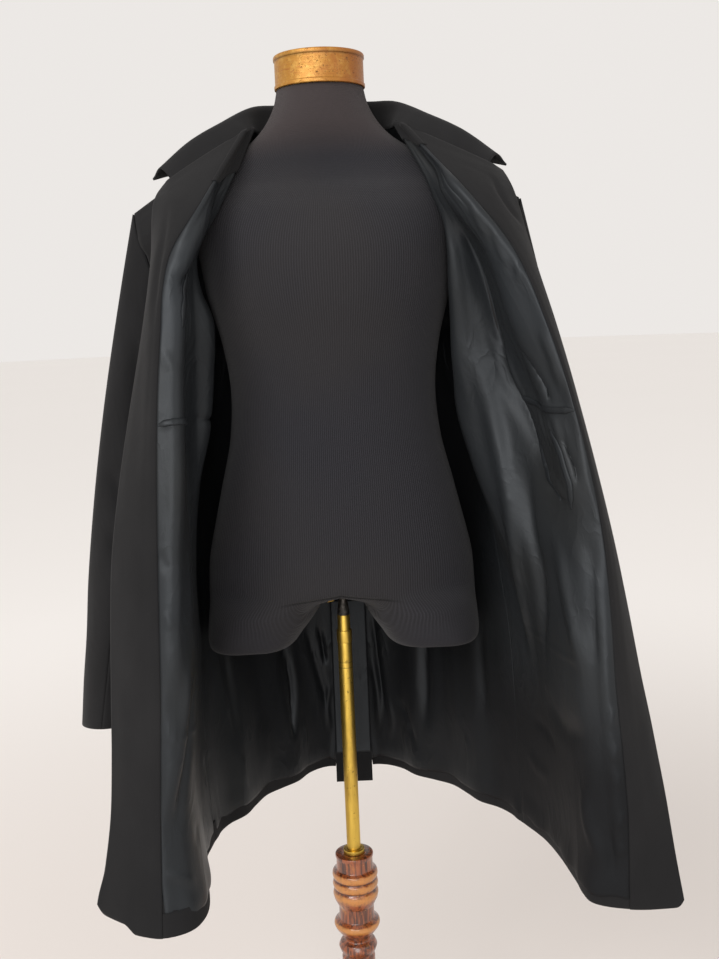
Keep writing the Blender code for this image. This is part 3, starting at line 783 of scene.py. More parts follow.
    def metres(self) -> tuple[np.ndarray, np.ndarray]:
        """The flat cloth's place of each column and row, in metres.

        Returns:
            The places of the columns and of the rows.
        """
        across = np.linalg.norm(np.diff(self.points, axis=1), axis=2).mean(axis=0)
        up = np.linalg.norm(np.diff(self.points, axis=0), axis=2).mean(axis=1)
        return summed(across), summed(up)

    def cut(self) -> tuple[float, float, float]:
        """The flat width, length and area of the cloth.

        Returns:
            The three, in metres and square metres.
        """
        width = np.linalg.norm(np.diff(self.points, axis=1), axis=2).sum(axis=1).max()
        length = np.linalg.norm(np.diff(self.points, axis=0), axis=2).sum(axis=0).max()
        first = np.cross(self.points[1:, :-1] - self.points[:-1, :-1],
                         self.points[:-1, 1:] - self.points[:-1, :-1])
        second = np.cross(self.points[1:, :-1] - self.points[1:, 1:],
                          self.points[:-1, 1:] - self.points[1:, 1:])
        area = 0.5 * (np.linalg.norm(first, axis=2).sum() + np.linalg.norm(second, axis=2).sum())
        return float(width), float(length), float(min(area, width * length))


@dataclass
class Piece:
    """A finished piece of the scene and the slot of its finish."""

    obj: bpy.types.Object
    slot: str

    def rides(self, body: str, *nodes: str) -> Piece:
        """Puts the piece on its body.

        Args:
            body: the body it moves with.
            *nodes: the solids it stands for.

        Returns:
            The piece itself.
        """
        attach(self.obj, body)
        if nodes:
            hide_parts(*nodes)
        log.info("%s on %s, %d faces", self.obj.name, body, len(self.obj.data.polygons))
        return self


def add_piece(name: str, form: bmesh.types.BMesh, finish: Finish) -> Piece:
    """Makes a form a smooth piece with its finish.

    Args:
        name: the piece's name.
        form: its form, which is freed.
        finish: its finish.

    Returns:
        The piece, on no body yet.
    """
    mesh = bpy.data.meshes.new(name)
    form.to_mesh(mesh)
    form.free()
    obj = bpy.data.objects.new(name, mesh)
    bpy.context.scene.collection.objects.link(obj)
    mesh.materials.append(finish.material)
    mesh.polygons.foreach_set("use_smooth", [True] * len(mesh.polygons))
    return Piece(obj, finish.slot)


def lay_cloth(name: str, surface: Surface, flip: bool, wall: float, finish: Finish,
              *nodes: str) -> Piece:
    """Lays a flat grid onto a surface and gives it its wall.

    Args:
        name: the piece's name.
        surface: where the cloth lies.
        flip: whether the wall grows the other way.
        wall: the cloth's thickness.
        finish: its finish.
        *nodes: the solids it stands for.

    Returns:
        The piece, riding on the form.
    """
    rows, columns, _ = surface.points.shape
    form = bmesh.new()
    form.loops.layers.uv.new("metres")
    bmesh.ops.create_grid(form, x_segments=columns - 1, y_segments=rows - 1, size=1.0,
                          calc_uvs=True)
    if flip:
        bmesh.ops.reverse_faces(form, faces=form.faces)
    piece = add_piece(name, form, finish)
    mesh = piece.obj.data
    flat = np.zeros(len(mesh.vertices) * 3, np.float32)
    mesh.vertices.foreach_get("co", flat)
    flat = flat.reshape(-1, 3)
    column = np.rint((flat[:, 0] + 1.0) / 2.0 * (columns - 1)).astype(int)
    row = np.rint((flat[:, 1] + 1.0) / 2.0 * (rows - 1)).astype(int)
    mesh.vertices.foreach_set("co", surface.points[row, column].astype(np.float32).ravel())
    across, up = surface.metres()
    corner = np.zeros(len(mesh.loops), np.int32)
    mesh.loops.foreach_get("vertex_index", corner)
    places = np.stack([across[column[corner]], up[row[corner]]], axis=1)
    mesh.uv_layers["metres"].data.foreach_set("uv", places.astype(np.float32).ravel())
    mesh.update()
    thicken = piece.obj.modifiers.new("Wall", "SOLIDIFY")
    thicken.thickness = wall
    thicken.offset = 1.0
    thicken.use_even_offset = False
    return piece.rides(FORM_BODY, *nodes)


def as_sheet(piece: Piece, surface: Surface) -> None:
    """Logs the flat width, length and area of a piece of cloth.

    Args:
        piece: the cloth.
        surface: where it lies.
    """
    width, length, area = surface.cut()
    log.info("%s cut %.3f x %.3f m, %.4f m2", piece.obj.name, width, length, area)


@dataclass
class CoatCut:
    """The coat's one surface for each side, in metres, and the heights of its rows."""

    seat_drop: float = 0.0020
    hem_z: float = 0.55
    hem_band: float = 0.025
    underarm_z: float = 1.09
    nape_z: float = 1.432
    front_strips: tuple[int, ...] = (2, 2, 2, 2, 2, 3, 3)
    neck_strips: int = 6
    folds: int = 3
    fold_depth: float = 0.011
    fold_top_z: float = 1.05
    fold_margin: float = 0.25
    shoulder_rounding: tuple[float, float, float] = (0.0, 0.004, 0.004)
    level_strips: dict = field(default_factory=lambda: {
        0.55: 2, 0.66: 2, 0.80: 2, 0.95: 2, 1.09: 2, 1.20: 2, 1.28: 1, 1.34: 2})
    front_rows: dict = field(default_factory=lambda: {
        Side.RIGHT: {
            0.55: ((0.365, -0.262), (0.335, -0.264), (0.305, -0.262), (0.268, -0.246),
                   (0.260, -0.203), (0.253, -0.150), (0.241, -0.096), (0.221, -0.049)),
            0.66: ((0.352, -0.235), (0.329, -0.251), (0.304, -0.260), (0.268, -0.240),
                   (0.254, -0.190), (0.247, -0.137), (0.235, -0.085), (0.217, -0.040)),
            0.80: ((0.332, -0.200), (0.317, -0.226), (0.295, -0.245), (0.262, -0.228),
                   (0.243, -0.178), (0.235, -0.125), (0.226, -0.074), (0.212, -0.025)),
            0.95: ((0.310, -0.165), (0.304, -0.192), (0.290, -0.215), (0.261, -0.196),
                   (0.228, -0.132), (0.194, -0.078), (0.191, -0.030), (0.195, 0.014)),
            1.09: ((0.282, -0.128), (0.279, -0.157), (0.268, -0.183), (0.250, -0.135),
                   (0.214, -0.078), (0.154, -0.038), (0.158, 0.004), (0.184, 0.048)),
            1.20: ((0.255, -0.110), (0.251, -0.137), (0.237, -0.160), (0.215, -0.120),
                   (0.191, -0.070), (0.150, -0.052), (0.168, -0.012), (0.208, 0.000)),
            1.28: ((0.233, -0.095), (0.223, -0.120), (0.204, -0.140), (0.188, -0.112),
                   (0.170, -0.075), (0.144, -0.070), (0.176, -0.030), (0.222, -0.006)),
            1.34: ((0.220, -0.070), (0.196, -0.099), (0.160, -0.115), (0.152, -0.100),
                   (0.145, -0.086), (0.129, -0.068), (0.1705, -0.0347), (0.231, -0.006, 1.305)),
            1.40: ((0.211, -0.045, 1.366), (0.194, -0.055, 1.375), (0.098, -0.022, 1.426),
                   (0.095, -0.016, 1.428), (0.092, -0.010, 1.430), (0.089, -0.004, 1.431),
                   (0.160, 0.001, 1.3845), (0.237, 0.006, 1.337)),
        },
        Side.LEFT: {
            0.55: ((0.285, -0.235), (0.246, -0.266), (0.205, -0.282), (0.173, -0.266),
                   (0.163, -0.226), (0.171, -0.172), (0.181, -0.117), (0.176, -0.066)),
            0.66: ((0.266, -0.220), (0.238, -0.240), (0.205, -0.250), (0.180, -0.230),
                   (0.174, -0.186), (0.178, -0.138), (0.184, -0.092), (0.183, -0.046)),
            0.80: ((0.259, -0.200), (0.231, -0.222), (0.198, -0.235), (0.168, -0.212),
                   (0.168, -0.166), (0.174, -0.116), (0.181, -0.069), (0.186, -0.022)),
            0.95: ((0.253, -0.170), (0.227, -0.196), (0.195, -0.210), (0.167, -0.184),
                   (0.173, -0.138), (0.172, -0.086), (0.178, -0.040), (0.188, 0.004)),
            1.09: ((0.232, -0.138), (0.215, -0.165), (0.191, -0.183), (0.167, -0.148),
                   (0.180, -0.100), (0.162, -0.052), (0.163, -0.004), (0.184, 0.045)),
            1.20: ((0.210, -0.120), (0.200, -0.146), (0.183, -0.160), (0.164, -0.128),
                   (0.170, -0.088), (0.150, -0.056), (0.166, -0.014), (0.204, 0.000)),
            1.28: ((0.199, -0.095), (0.190, -0.122), (0.171, -0.138), (0.153, -0.112),
                   (0.158, -0.086), (0.152, -0.068), (0.176, -0.032), (0.217, -0.006)),
            1.34: ((0.197, -0.070), (0.171, -0.101), (0.134, -0.117), (0.130, -0.102),
                   (0.127, -0.087), (0.119, -0.070), (0.168, -0.038), (0.227, -0.006, 1.303)),
            1.40: ((0.190, -0.045, 1.362), (0.177, -0.055, 1.372), (0.092, -0.022, 1.426),
                   (0.089, -0.016, 1.428), (0.086, -0.010, 1.430), (0.083, -0.004, 1.431),
                   (0.156, 0.001, 1.386), (0.233, 0.006, 1.337)),
        },
    })
    back_rows: dict = field(default_factory=lambda: {
        0.55: (0.024, 0.030, 0.158, 0.35, 0.38, None),
        0.66: (0.012, 0.016, 0.161, 0.60, 0.65, None),
        0.80: (0.000, 0.000, 0.164, 1.05, 1.10, None),
        0.95: (0.000, 0.000, 0.163, 1.15, 1.25, None),
        1.09: (0.000, 0.000, 0.158, 1.10, 1.25, None),
        1.20: (0.000, 0.000, 0.151, 0.50, 1.20, (0.208, 0.086, 1.195)),
        1.28: (0.000, 0.000, 0.137, 0.40, 1.20, (0.226, 0.074, 1.265)),
        1.34: (0.000, 0.000, 0.116, 0.40, 1.10, (0.235, 0.045, 1.315)),
        1.40: (0.000, 0.000, 0.072, 0.40, 1.00, (0.237, 0.006, 1.337)),
    })

    def __post_init__(self) -> None:
        """Works out the rows' heights and each side's coarse grids."""
        levels = list(self.back_rows)
        rows = [levels[-1], self.hem_z + self.hem_band]
        for low, high in zip(levels, levels[1:]):
            rows.extend(np.linspace(low, high, self.level_strips[low] + 1)[:-1])
        self.heights = np.array(sorted(rows))
        self.fronts = {side: self.front_grid(side) for side in Side}
        self.backs = {side: self.back_grid(side) for side in Side}

    def front_grid(self, side: Side) -> np.ndarray:
        """The front's coarse grid, from the front edge to the side seam.

        Args:
            side: which side of the coat.

        Returns:
            The grid, as rows x columns x 3.
        """
        table = self.front_rows[side]
        levels = list(table)
        columns = []
        for station in range(len(table[levels[0]])):
            points = []
            for level in levels:
                entry = table[level][station]
                height = entry[2] if len(entry) == 3 else level
                points.append((side.value * entry[0], entry[1], height))
            columns.append(smooth_through(points, levels, self.heights))
        rows = []
        for row in np.stack(columns, axis=1):
            steps = np.linalg.norm(np.diff(row, axis=0), axis=1)
            knots = summed(np.sqrt(steps + 1e-6))
            at = [knots[0]]
            for stretch, count in enumerate(self.front_strips):
                at.extend(np.linspace(knots[stretch], knots[stretch + 1], count + 1)[1:])
            rows.append(smooth_through(row, knots, np.array(at)))
        return np.stack(rows)

    def back_side_edge(self, side: Side) -> np.ndarray:
        """The back's side edge: the front's below the underarm, the back armhole above it.

        Args:
            side: which side of the coat.

        Returns:
            A point for each row.
        """
        front = self.fronts[side]
        levels = [level for level in self.back_rows if level >= self.underarm_z]
        below = self.heights <= self.underarm_z + 1e-9
        points = [front[below][-1, -1]]
        for level in levels[1:]:
            across, back, height = self.back_rows[level][5]
            points.append((side.value * across, back, height))
        edge = front[:, -1].copy()
        edge[~below] = smooth_through(points, levels, self.heights[~below])
        edge[-1] = front[-1, -1]
        return edge

    def back_grid(self, side: Side) -> np.ndarray:
        """The back's coarse grid, from the side seam to the centre back.

        Args:
            side: which side of the coat.

        Returns:
            The grid, as rows x columns x 3.
        """
        front = self.fronts[side]
        levels = list(self.back_rows)
        table = np.array([self.back_rows[level][:5] for level in levels])
        values = smooth_through(table, levels, self.heights)
        strips = sum(self.front_strips[5:]) + self.neck_strips
        along = np.linspace(0.0, 1.0, strips + 1)[:, None]
        angle = along * math.pi / 2
        out = np.concatenate([side.value * np.cos(angle), np.sin(angle), 0 * angle], axis=1)
        rows = []
        for row, (start, value, height) in enumerate(
            zip(self.back_side_edge(side), values, self.heights)
        ):
            opening = max(0.0, value[0] if side is Side.LEFT else value[1])
            centre = np.array((side.value * opening, value[2], height))
            reach = np.linalg.norm(centre - start)
            leave = front[row, -1] - front[row, -2]
            if height > self.underarm_z + 1e-9:
                leave = np.array((0.0, 1.0, 0.0))
            leave = leave / np.linalg.norm(leave) * reach * value[3]
            arrive = np.array((-side.value * reach * value[4], 0.0, 0.0))
            points = curved(along, start, leave, centre, arrive)
            rows.append(points + self.fold_wave(along, height) * out)
        surface = np.stack(rows)
        surface[-1] = self.shoulder_and_neck(side)
        surface[-2] = 0.5 * (surface[-1] + surface[-3]) + self.shoulder_rounding
        surface[-2, 0] = self.back_side_edge(side)[-2]
        surface[:, -1, 1:] = surface[:, -2, 1:]
        return surface

    def fold_wave(self, along: np.ndarray, height: float) -> np.ndarray:
        """How far the hanging back swells out, in folds that deepen towards the hem.

        Args:
            along: the share of the back's width.
            height: the row's height.

        Returns:
            The swell at each share, in metres.
        """
        reach = (self.fold_top_z - height) / (self.fold_top_z - self.hem_z)
        swell = 0.5 - 0.5 * np.cos(2 * math.pi * self.folds * along)
        inner = np.clip(np.minimum(along, 1.0 - along) / self.fold_margin, 0.0, 1.0)
        return self.fold_depth * min(max(reach, 0.0), 1.0) ** 1.5 * swell * inner**2

    def shoulder_and_neck(self, side: Side) -> np.ndarray:
        """The back's top edge: along the shoulder seam, then round the neck.

        Args:
            side: which side of the coat.

        Returns:
            The points of the top row.
        """
        shoulder = self.fronts[side][-1, sum(self.front_strips[:5]) :][::-1]
        point = shoulder[-1]
        angle = np.linspace(0.0, math.pi / 2, self.neck_strips + 1)[1:]
        hang = self.back_rows[1.40][2]
        neck = np.stack(
            [
                point[0] * np.cos(angle),
                point[1] + (hang - point[1]) * np.sin(angle),
                point[2] + (self.nape_z - point[2]) * np.sin(angle),
            ],
            axis=1,
        )
        neck[-1, 0] = 0.0
        return np.concatenate([shoulder, neck])

    def armhole(self, side: Side, points: int) -> np.ndarray:
        """Points round the armhole: from the shoulder tip down the front and up the back.

        Args:
            side: which side of the coat.
            points: how many are wanted.

        Returns:
            The points.
        """
        above = self.heights >= self.underarm_z - 1e-9
        down = self.fronts[side][above, -1][::-1]
        up = self.backs[side][above, 0][1:]
        loop = np.concatenate([down, up])
        length = running_length(loop)
        at = np.linspace(0.0, length[-1], points + 1)[:-1]
        return np.stack([np.interp(at, length, loop[:, axis]) for axis in range(3)], axis=1)

    def neck_line(self, side: Side) -> np.ndarray:
        """The neck edge of one side, from the centre back to the notch.

        Args:
            side: which side of the coat.

        Returns:
            The points.
        """
        to_neck = sum(self.front_strips[:5])
        gorge = self.fronts[side][-1, self.front_strips[0] : to_neck][::-1]
        behind = self.backs[side][-1, sum(self.front_strips[5:]) :][::-1]
        return np.concatenate([behind, gorge])

    def let_down(self, points: np.ndarray) -> np.ndarray:
        """The points where the coat has come to rest on the form."""
        return points - (0.0, 0.0, self.seat_drop)

    def front_surface(self, side: Side, pitch: tuple[float, float]) -> Surface:
        """The fine front of one side, let down onto the form.

        Args:
            side: which side of the coat.
            pitch: how far apart its rows and columns are.

        Returns:
            The surface.
        """
        stations = [0.0]
        for stretch, count in enumerate(self.front_strips):
            stations.extend(np.linspace(stretch, stretch + 1, count + 1)[1:])
        grid = self.let_down(self.fronts[side])
        return Surface.through(grid, np.array(stations), self.heights, pitch)

    def back_surface(self, side: Side, pitch: tuple[float, float]) -> Surface:
        """The fine back of one side, let down onto the form."""
        grid = self.let_down(self.backs[side])
        return Surface.through(grid, np.linspace(0.0, 1.0, grid.shape[1]), self.heights, pitch)


@dataclass(frozen=True)
class Wrinkles:
    """The creases, listed as (station, height) on fronts and (share of width, height) behind."""

    fronts: dict = field(default_factory=lambda: {
        Side.RIGHT: (
            Crease(((4.0, 1.34), (4.0, 1.22), (4.0, 1.12), (3.8, 1.09), (3.55, 1.02), (3.2, 0.98)),
                   0.0072, 0.010),
            Crease(((4.1, 1.35), (4.05, 1.26), (4.0, 1.17), (3.85, 1.105), (3.6, 1.045),
                    (3.25, 0.995)), 0.0048, 0.0036, 0.25),
            Crease(((3.45, 1.30), (3.4, 1.20), (3.35, 1.12)), -0.0035, 0.010),
            Crease(((4.0, 1.17), (3.8, 1.12), (3.6, 1.08)), -0.0040, 0.005, 0.3),
            Crease(((3.0, 1.17), (2.82, 1.137), (2.72, 1.115), (2.7, 1.095)), 0.0046, 0.0034),
            Crease(((2.55, 1.075), (2.6, 1.06), (2.5, 1.02), (2.65, 1.0)), 0.0026, 0.0055),
            Crease(((3.5, 1.022), (3.25, 1.01), (2.85, 1.0)), -0.0034, 0.006),
            Crease(((3.5, 1.012), (3.25, 1.0), (2.9, 0.99)), 0.0030, 0.006),
            Crease(((4.85, 1.185), (4.5, 1.135), (4.40, 1.04), (4.45, 0.985), (4.67, 0.927),
                    (5.3, 0.845), (6.0, 0.765)), -0.0062, 0.011, 0.2),
            Crease(((3.92, 1.04), (4.08, 0.96), (4.08, 0.89), (4.45, 0.83), (4.8, 0.79)),
                   0.0074, 0.010, 0.3),
            Crease(((3.5, 0.965), (3.40, 0.94), (3.25, 0.88), (3.0, 0.824), (2.85, 0.79)),
                   -0.0048, 0.009),
            Crease(((2.8, 0.97), (2.55, 0.945), (2.45, 0.90), (2.5, 0.85), (2.4, 0.80)),
                   0.0046, 0.009),
            Crease(((5.4, 0.750), (4.6, 0.738), (3.8, 0.732), (3.1, 0.74), (2.5, 0.735)),
                   0.0034, 0.015),
            Crease(((6.3, 0.70), (5.5, 0.702), (4.6, 0.690)), 0.0020, 0.008),
            Crease(((6.7, 0.655), (6.0, 0.64), (5.2, 0.645)), -0.0022, 0.009),
            Crease(((7.0, 0.60), (6.5, 0.592), (6.0, 0.60)), 0.0020, 0.009),
            Crease(((2.45, 0.65), (2.42, 0.62), (2.4, 0.585)), 0.0028, 0.006),
            Crease(((3.2, 0.69), (3.1, 0.64), (2.8, 0.615), (2.75, 0.58)), -0.0042, 0.009),
            Crease(((1.2, 1.385), (1.0, 1.361), (0.88, 1.332), (0.75, 1.316), (0.25, 1.296)),
                   0.0030, 0.0055, 0.2),
            Crease(((0.9, 1.28), (1.0, 1.20), (1.05, 1.05), (1.0, 0.90)), 0.0016, 0.016),
            Crease(((0.4, 0.80), (0.6, 0.72), (0.5, 0.62)), -0.0018, 0.015),
        ),
        Side.LEFT: (
            Crease(((2.5, 1.36), (2.5, 1.28), (2.55, 1.15), (2.55, 1.02), (2.6, 0.95)),
                   -0.0055, 0.010, 0.2),
            Crease(((4.0, 1.30), (3.0, 1.28), (2.5, 1.255), (2.5, 1.22)), 0.0050, 0.0055),
            Crease(((2.9, 1.245), (2.75, 1.232), (2.6, 1.22)), 0.0036, 0.0045),
            Crease(((3.7, 1.24), (3.75, 1.15), (4.0, 1.05), (4.1, 0.95), (4.2, 0.87)), 0.0095, 0.010,
                   0.25),
            Crease(((5.0, 1.30), (5.0, 1.18), (5.1, 1.08), (5.0, 0.99)), -0.0055, 0.010),
            Crease(((5.5, 1.085), (5.0, 1.09), (4.6, 1.088)), 0.0030, 0.005),
            Crease(((2.1, 0.965), (2.2, 0.95), (2.4, 0.935)), 0.0018, 0.006),
            Crease(((2.75, 0.93), (2.45, 0.87), (2.3, 0.82), (2.25, 0.78)), 0.0020, 0.010),
            Crease(((3.2, 0.84), (3.1, 0.80), (2.95, 0.74), (2.65, 0.69), (2.55, 0.64)),
                   0.0050, 0.008),
            Crease(((2.9, 0.86), (2.8, 0.80), (2.65, 0.74), (2.35, 0.67)), -0.0040, 0.008),
            Crease(((2.1, 0.61), (2.5, 0.60), (3.3, 0.585)), 0.0012, 0.006),
            Crease(((3.7, 0.65), (3.6, 0.635), (3.5, 0.62)), 0.0014, 0.009),
            Crease(((4.6, 0.86), (4.8, 0.78), (4.6, 0.70)), 0.0050, 0.011),
            Crease(((5.6, 0.90), (5.7, 0.78), (5.5, 0.66)), -0.0036, 0.012),
            Crease(((6.6, 0.665), (6.7, 0.645), (6.7, 0.625)), 0.0050, 0.004),
            Crease(((0.88, 1.346), (1.2, 1.30), (1.5, 1.268), (1.5, 1.20)), 0.0024, 0.0060, 0.3),
            Crease(((0.8, 1.24), (1.0, 1.12), (1.0, 0.98)), 0.0016, 0.015),
            Crease(((0.5, 0.84), (0.7, 0.74), (0.6, 0.64)), -0.0018, 0.014),
        ),
    })
    backs: dict = field(default_factory=lambda: {
        Side.RIGHT: (
            Crease(((0.58, 0.84), (0.60, 0.74), (0.60, 0.67), (0.62, 0.60)), 0.0060, 0.0095),
            Crease(((0.27, 0.82), (0.27, 0.72), (0.27, 0.65)), 0.0040, 0.009),
            Crease(((0.76, 0.66), (0.70, 0.63), (0.68, 0.61), (0.65, 0.59)), 0.0030, 0.005),
            Crease(((0.15, 0.64), (0.15, 0.60), (0.17, 0.56)), -0.0020, 0.010),
            Crease(((0.46, 0.80), (0.45, 0.70), (0.44, 0.60)), -0.0030, 0.014),
            Crease(((0.88, 0.80), (0.86, 0.70), (0.84, 0.62)), 0.0046, 0.0045),
            Crease(((0.30, 1.22), (0.50, 1.17), (0.75, 1.15)), 0.0030, 0.012),
            Crease(((0.55, 1.02), (0.57, 0.92), (0.56, 0.84)), 0.0045, 0.014),
        ),
        Side.LEFT: (
            Crease(((0.64, 0.84), (0.66, 0.74), (0.67, 0.66), (0.69, 0.60)), 0.0050, 0.0095),
            Crease(((0.68, 0.735), (0.69, 0.68), (0.66, 0.605)), 0.0066, 0.0040, 0.25),
            Crease(((0.86, 0.765), (0.88, 0.73), (0.89, 0.70)), 0.0055, 0.0036),
            Crease(((0.79, 0.78), (0.84, 0.70), (0.88, 0.66), (0.93, 0.61)), 0.0036, 0.006),
            Crease(((0.05, 0.66), (0.03, 0.64), (0.02, 0.62)), 0.0030, 0.006),
            Crease(((0.50, 0.66), (0.50, 0.62), (0.51, 0.57)), -0.0026, 0.012),
            Crease(((0.30, 0.80), (0.32, 0.72), (0.33, 0.62)), 0.0050, 0.010),
            Crease(((0.30, 1.21), (0.52, 1.18), (0.75, 1.14)), 0.0026, 0.012),
            Crease(((0.40, 1.00), (0.42, 0.92), (0.41, 0.84)), 0.0045, 0.014),
        ),
    })
    linings: dict = field(default_factory=lambda: {
        Side.RIGHT: (
            Crease(((2.75, 1.37), (2.85, 1.30), (2.9, 1.20), (2.85, 1.12), (2.75, 1.03), (2.65, 0.97)),
                   -0.0125, 0.0230, 0.12),
            Crease(((4.9, 1.32), (4.9, 1.24), (4.8, 1.14), (4.7, 1.05)), -0.0060, 0.0140),
            Crease(((2.38, 0.95), (2.32, 0.85), (2.3, 0.75), (2.26, 0.65), (2.3, 0.585)),
                   -0.0050, 0.0075, 0.15),
            Crease(((3.75, 1.103), (3.4, 1.101), (3.1, 1.098), (2.4, 1.095), (2.1, 1.093)),
                   -0.0018, 0.0035, 0.12),
            Crease(((3.38, 1.092), (3.32, 1.07), (3.22, 1.050)), -0.0030, 0.0034),
            Crease(((3.18, 1.092), (3.12, 1.07), (3.04, 1.045)), -0.0034, 0.0034),
            Crease(((2.95, 1.090), (2.90, 1.072), (2.84, 1.055)), -0.0028, 0.0034),
            Crease(((2.70, 1.090), (2.66, 1.076), (2.62, 1.060)), -0.0022, 0.0034),
            Crease(((2.05, 1.33), (2.3, 1.315), (2.5, 1.29)), -0.0022, 0.0040),
            Crease(((2.05, 1.30), (2.3, 1.28), (2.45, 1.25)), -0.0024, 0.0040),
            Crease(((2.05, 1.26), (2.25, 1.245), (2.45, 1.235)), -0.0020, 0.0035),
            Crease(((2.03, 0.785), (2.15, 0.772), (2.30, 0.752)), -0.0030, 0.0034),
            Crease(((2.03, 0.745), (2.15, 0.733), (2.30, 0.716)), -0.0032, 0.0034),
            Crease(((2.03, 0.712), (2.15, 0.701), (2.28, 0.688)), -0.0026, 0.0030),
            Crease(((2.03, 0.668), (2.15, 0.657), (2.30, 0.642)), -0.0030, 0.0034),
            Crease(((2.03, 0.630), (2.15, 0.622), (2.26, 0.610)), -0.0026, 0.0032),
            Crease(((5.5, 0.824), (4.4, 0.823), (3.3, 0.822), (2.3, 0.82)), -0.0010, 0.0035, 0.1),
            Crease(((5.6, 0.984), (4.4, 0.983), (3.3, 0.98)), -0.0008, 0.0035, 0.1),
            Crease(((2.3, 1.19), (2.25, 1.15), (2.3, 1.11)), -0.0030, 0.0060),
        ),
        Side.LEFT: (
            Crease(((2.45, 1.36), (2.45, 1.28), (2.45, 1.18), (2.45, 1.05), (2.42, 0.94),
                    (2.40, 0.84), (2.35, 0.77)), -0.0095, 0.0130, 0.14),
            Crease(((2.35, 0.80), (2.32, 0.73), (2.25, 0.66)), -0.0050, 0.0100, 0.3),
            Crease(((5.0, 1.31), (5.0, 1.20), (5.1, 1.10), (5.0, 0.98)), -0.0070, 0.0130),
            Crease(((2.05, 1.096), (2.5, 1.096), (3.1, 1.095)), -0.0018, 0.0035, 0.12),
            Crease(((2.1, 0.988), (3.2, 0.987), (4.6, 0.985)), -0.0008, 0.0035, 0.1),
            Crease(((2.2, 0.757), (2.8, 0.756), (3.6, 0.755)), -0.0009, 0.0035, 0.1),
            Crease(((2.1, 0.618), (2.5, 0.608), (3.3, 0.593)), -0.0022, 0.0035),
            Crease(((2.05, 1.18), (2.25, 1.165), (2.4, 1.15)), -0.0020, 0.0040),
            Crease(((2.06, 0.90), (2.2, 0.888), (2.3, 0.875)), -0.0018, 0.0035),
        ),
    })
    back_linings: dict = field(default_factory=lambda: {
        Side.RIGHT: (
            Crease(((0.90, 0.72), (0.88, 0.66), (0.90, 0.60)), -0.0022, 0.0035),
            Crease(((0.82, 0.66), (0.80, 0.62), (0.82, 0.59)), -0.0022, 0.0035),
            Crease(((0.74, 0.62), (0.72, 0.60), (0.70, 0.585)), -0.0020, 0.0035),
            Crease(((0.40, 0.64), (0.38, 0.61), (0.39, 0.585)), -0.0022, 0.0040),
        ),
        Side.LEFT: (
            Crease(((0.92, 0.68), (0.90, 0.64), (0.93, 0.60)), -0.0022, 0.0035),
            Crease(((0.73, 0.64), (0.74, 0.61), (0.73, 0.585)), -0.0022, 0.0035),
            Crease(((0.36, 0.63), (0.35, 0.60), (0.36, 0.585)), -0.0020, 0.0040),
        ),
    })
    tucks: dict = field(default_factory=lambda: {
        Side.RIGHT: (
            ((3.78, 1.103), (3.45, 1.098), (3.1, 1.095), (2.5, 1.0935), (2.03, 1.094)),
            ((3.95, 1.17), (3.85, 1.12), (3.7, 1.075), (3.55, 1.03), (3.2, 0.99)),
            ((2.85, 1.07), (2.75, 1.04), (2.70, 1.01), (2.9, 0.985)),
        ),
        Side.LEFT: (
            ((2.03, 1.096), (2.4, 1.0965), (2.8, 1.096), (3.2, 1.095)),
            ((3.3, 1.285), (2.9, 1.268), (2.55, 1.235), (2.5, 1.20)),
        ),
    })


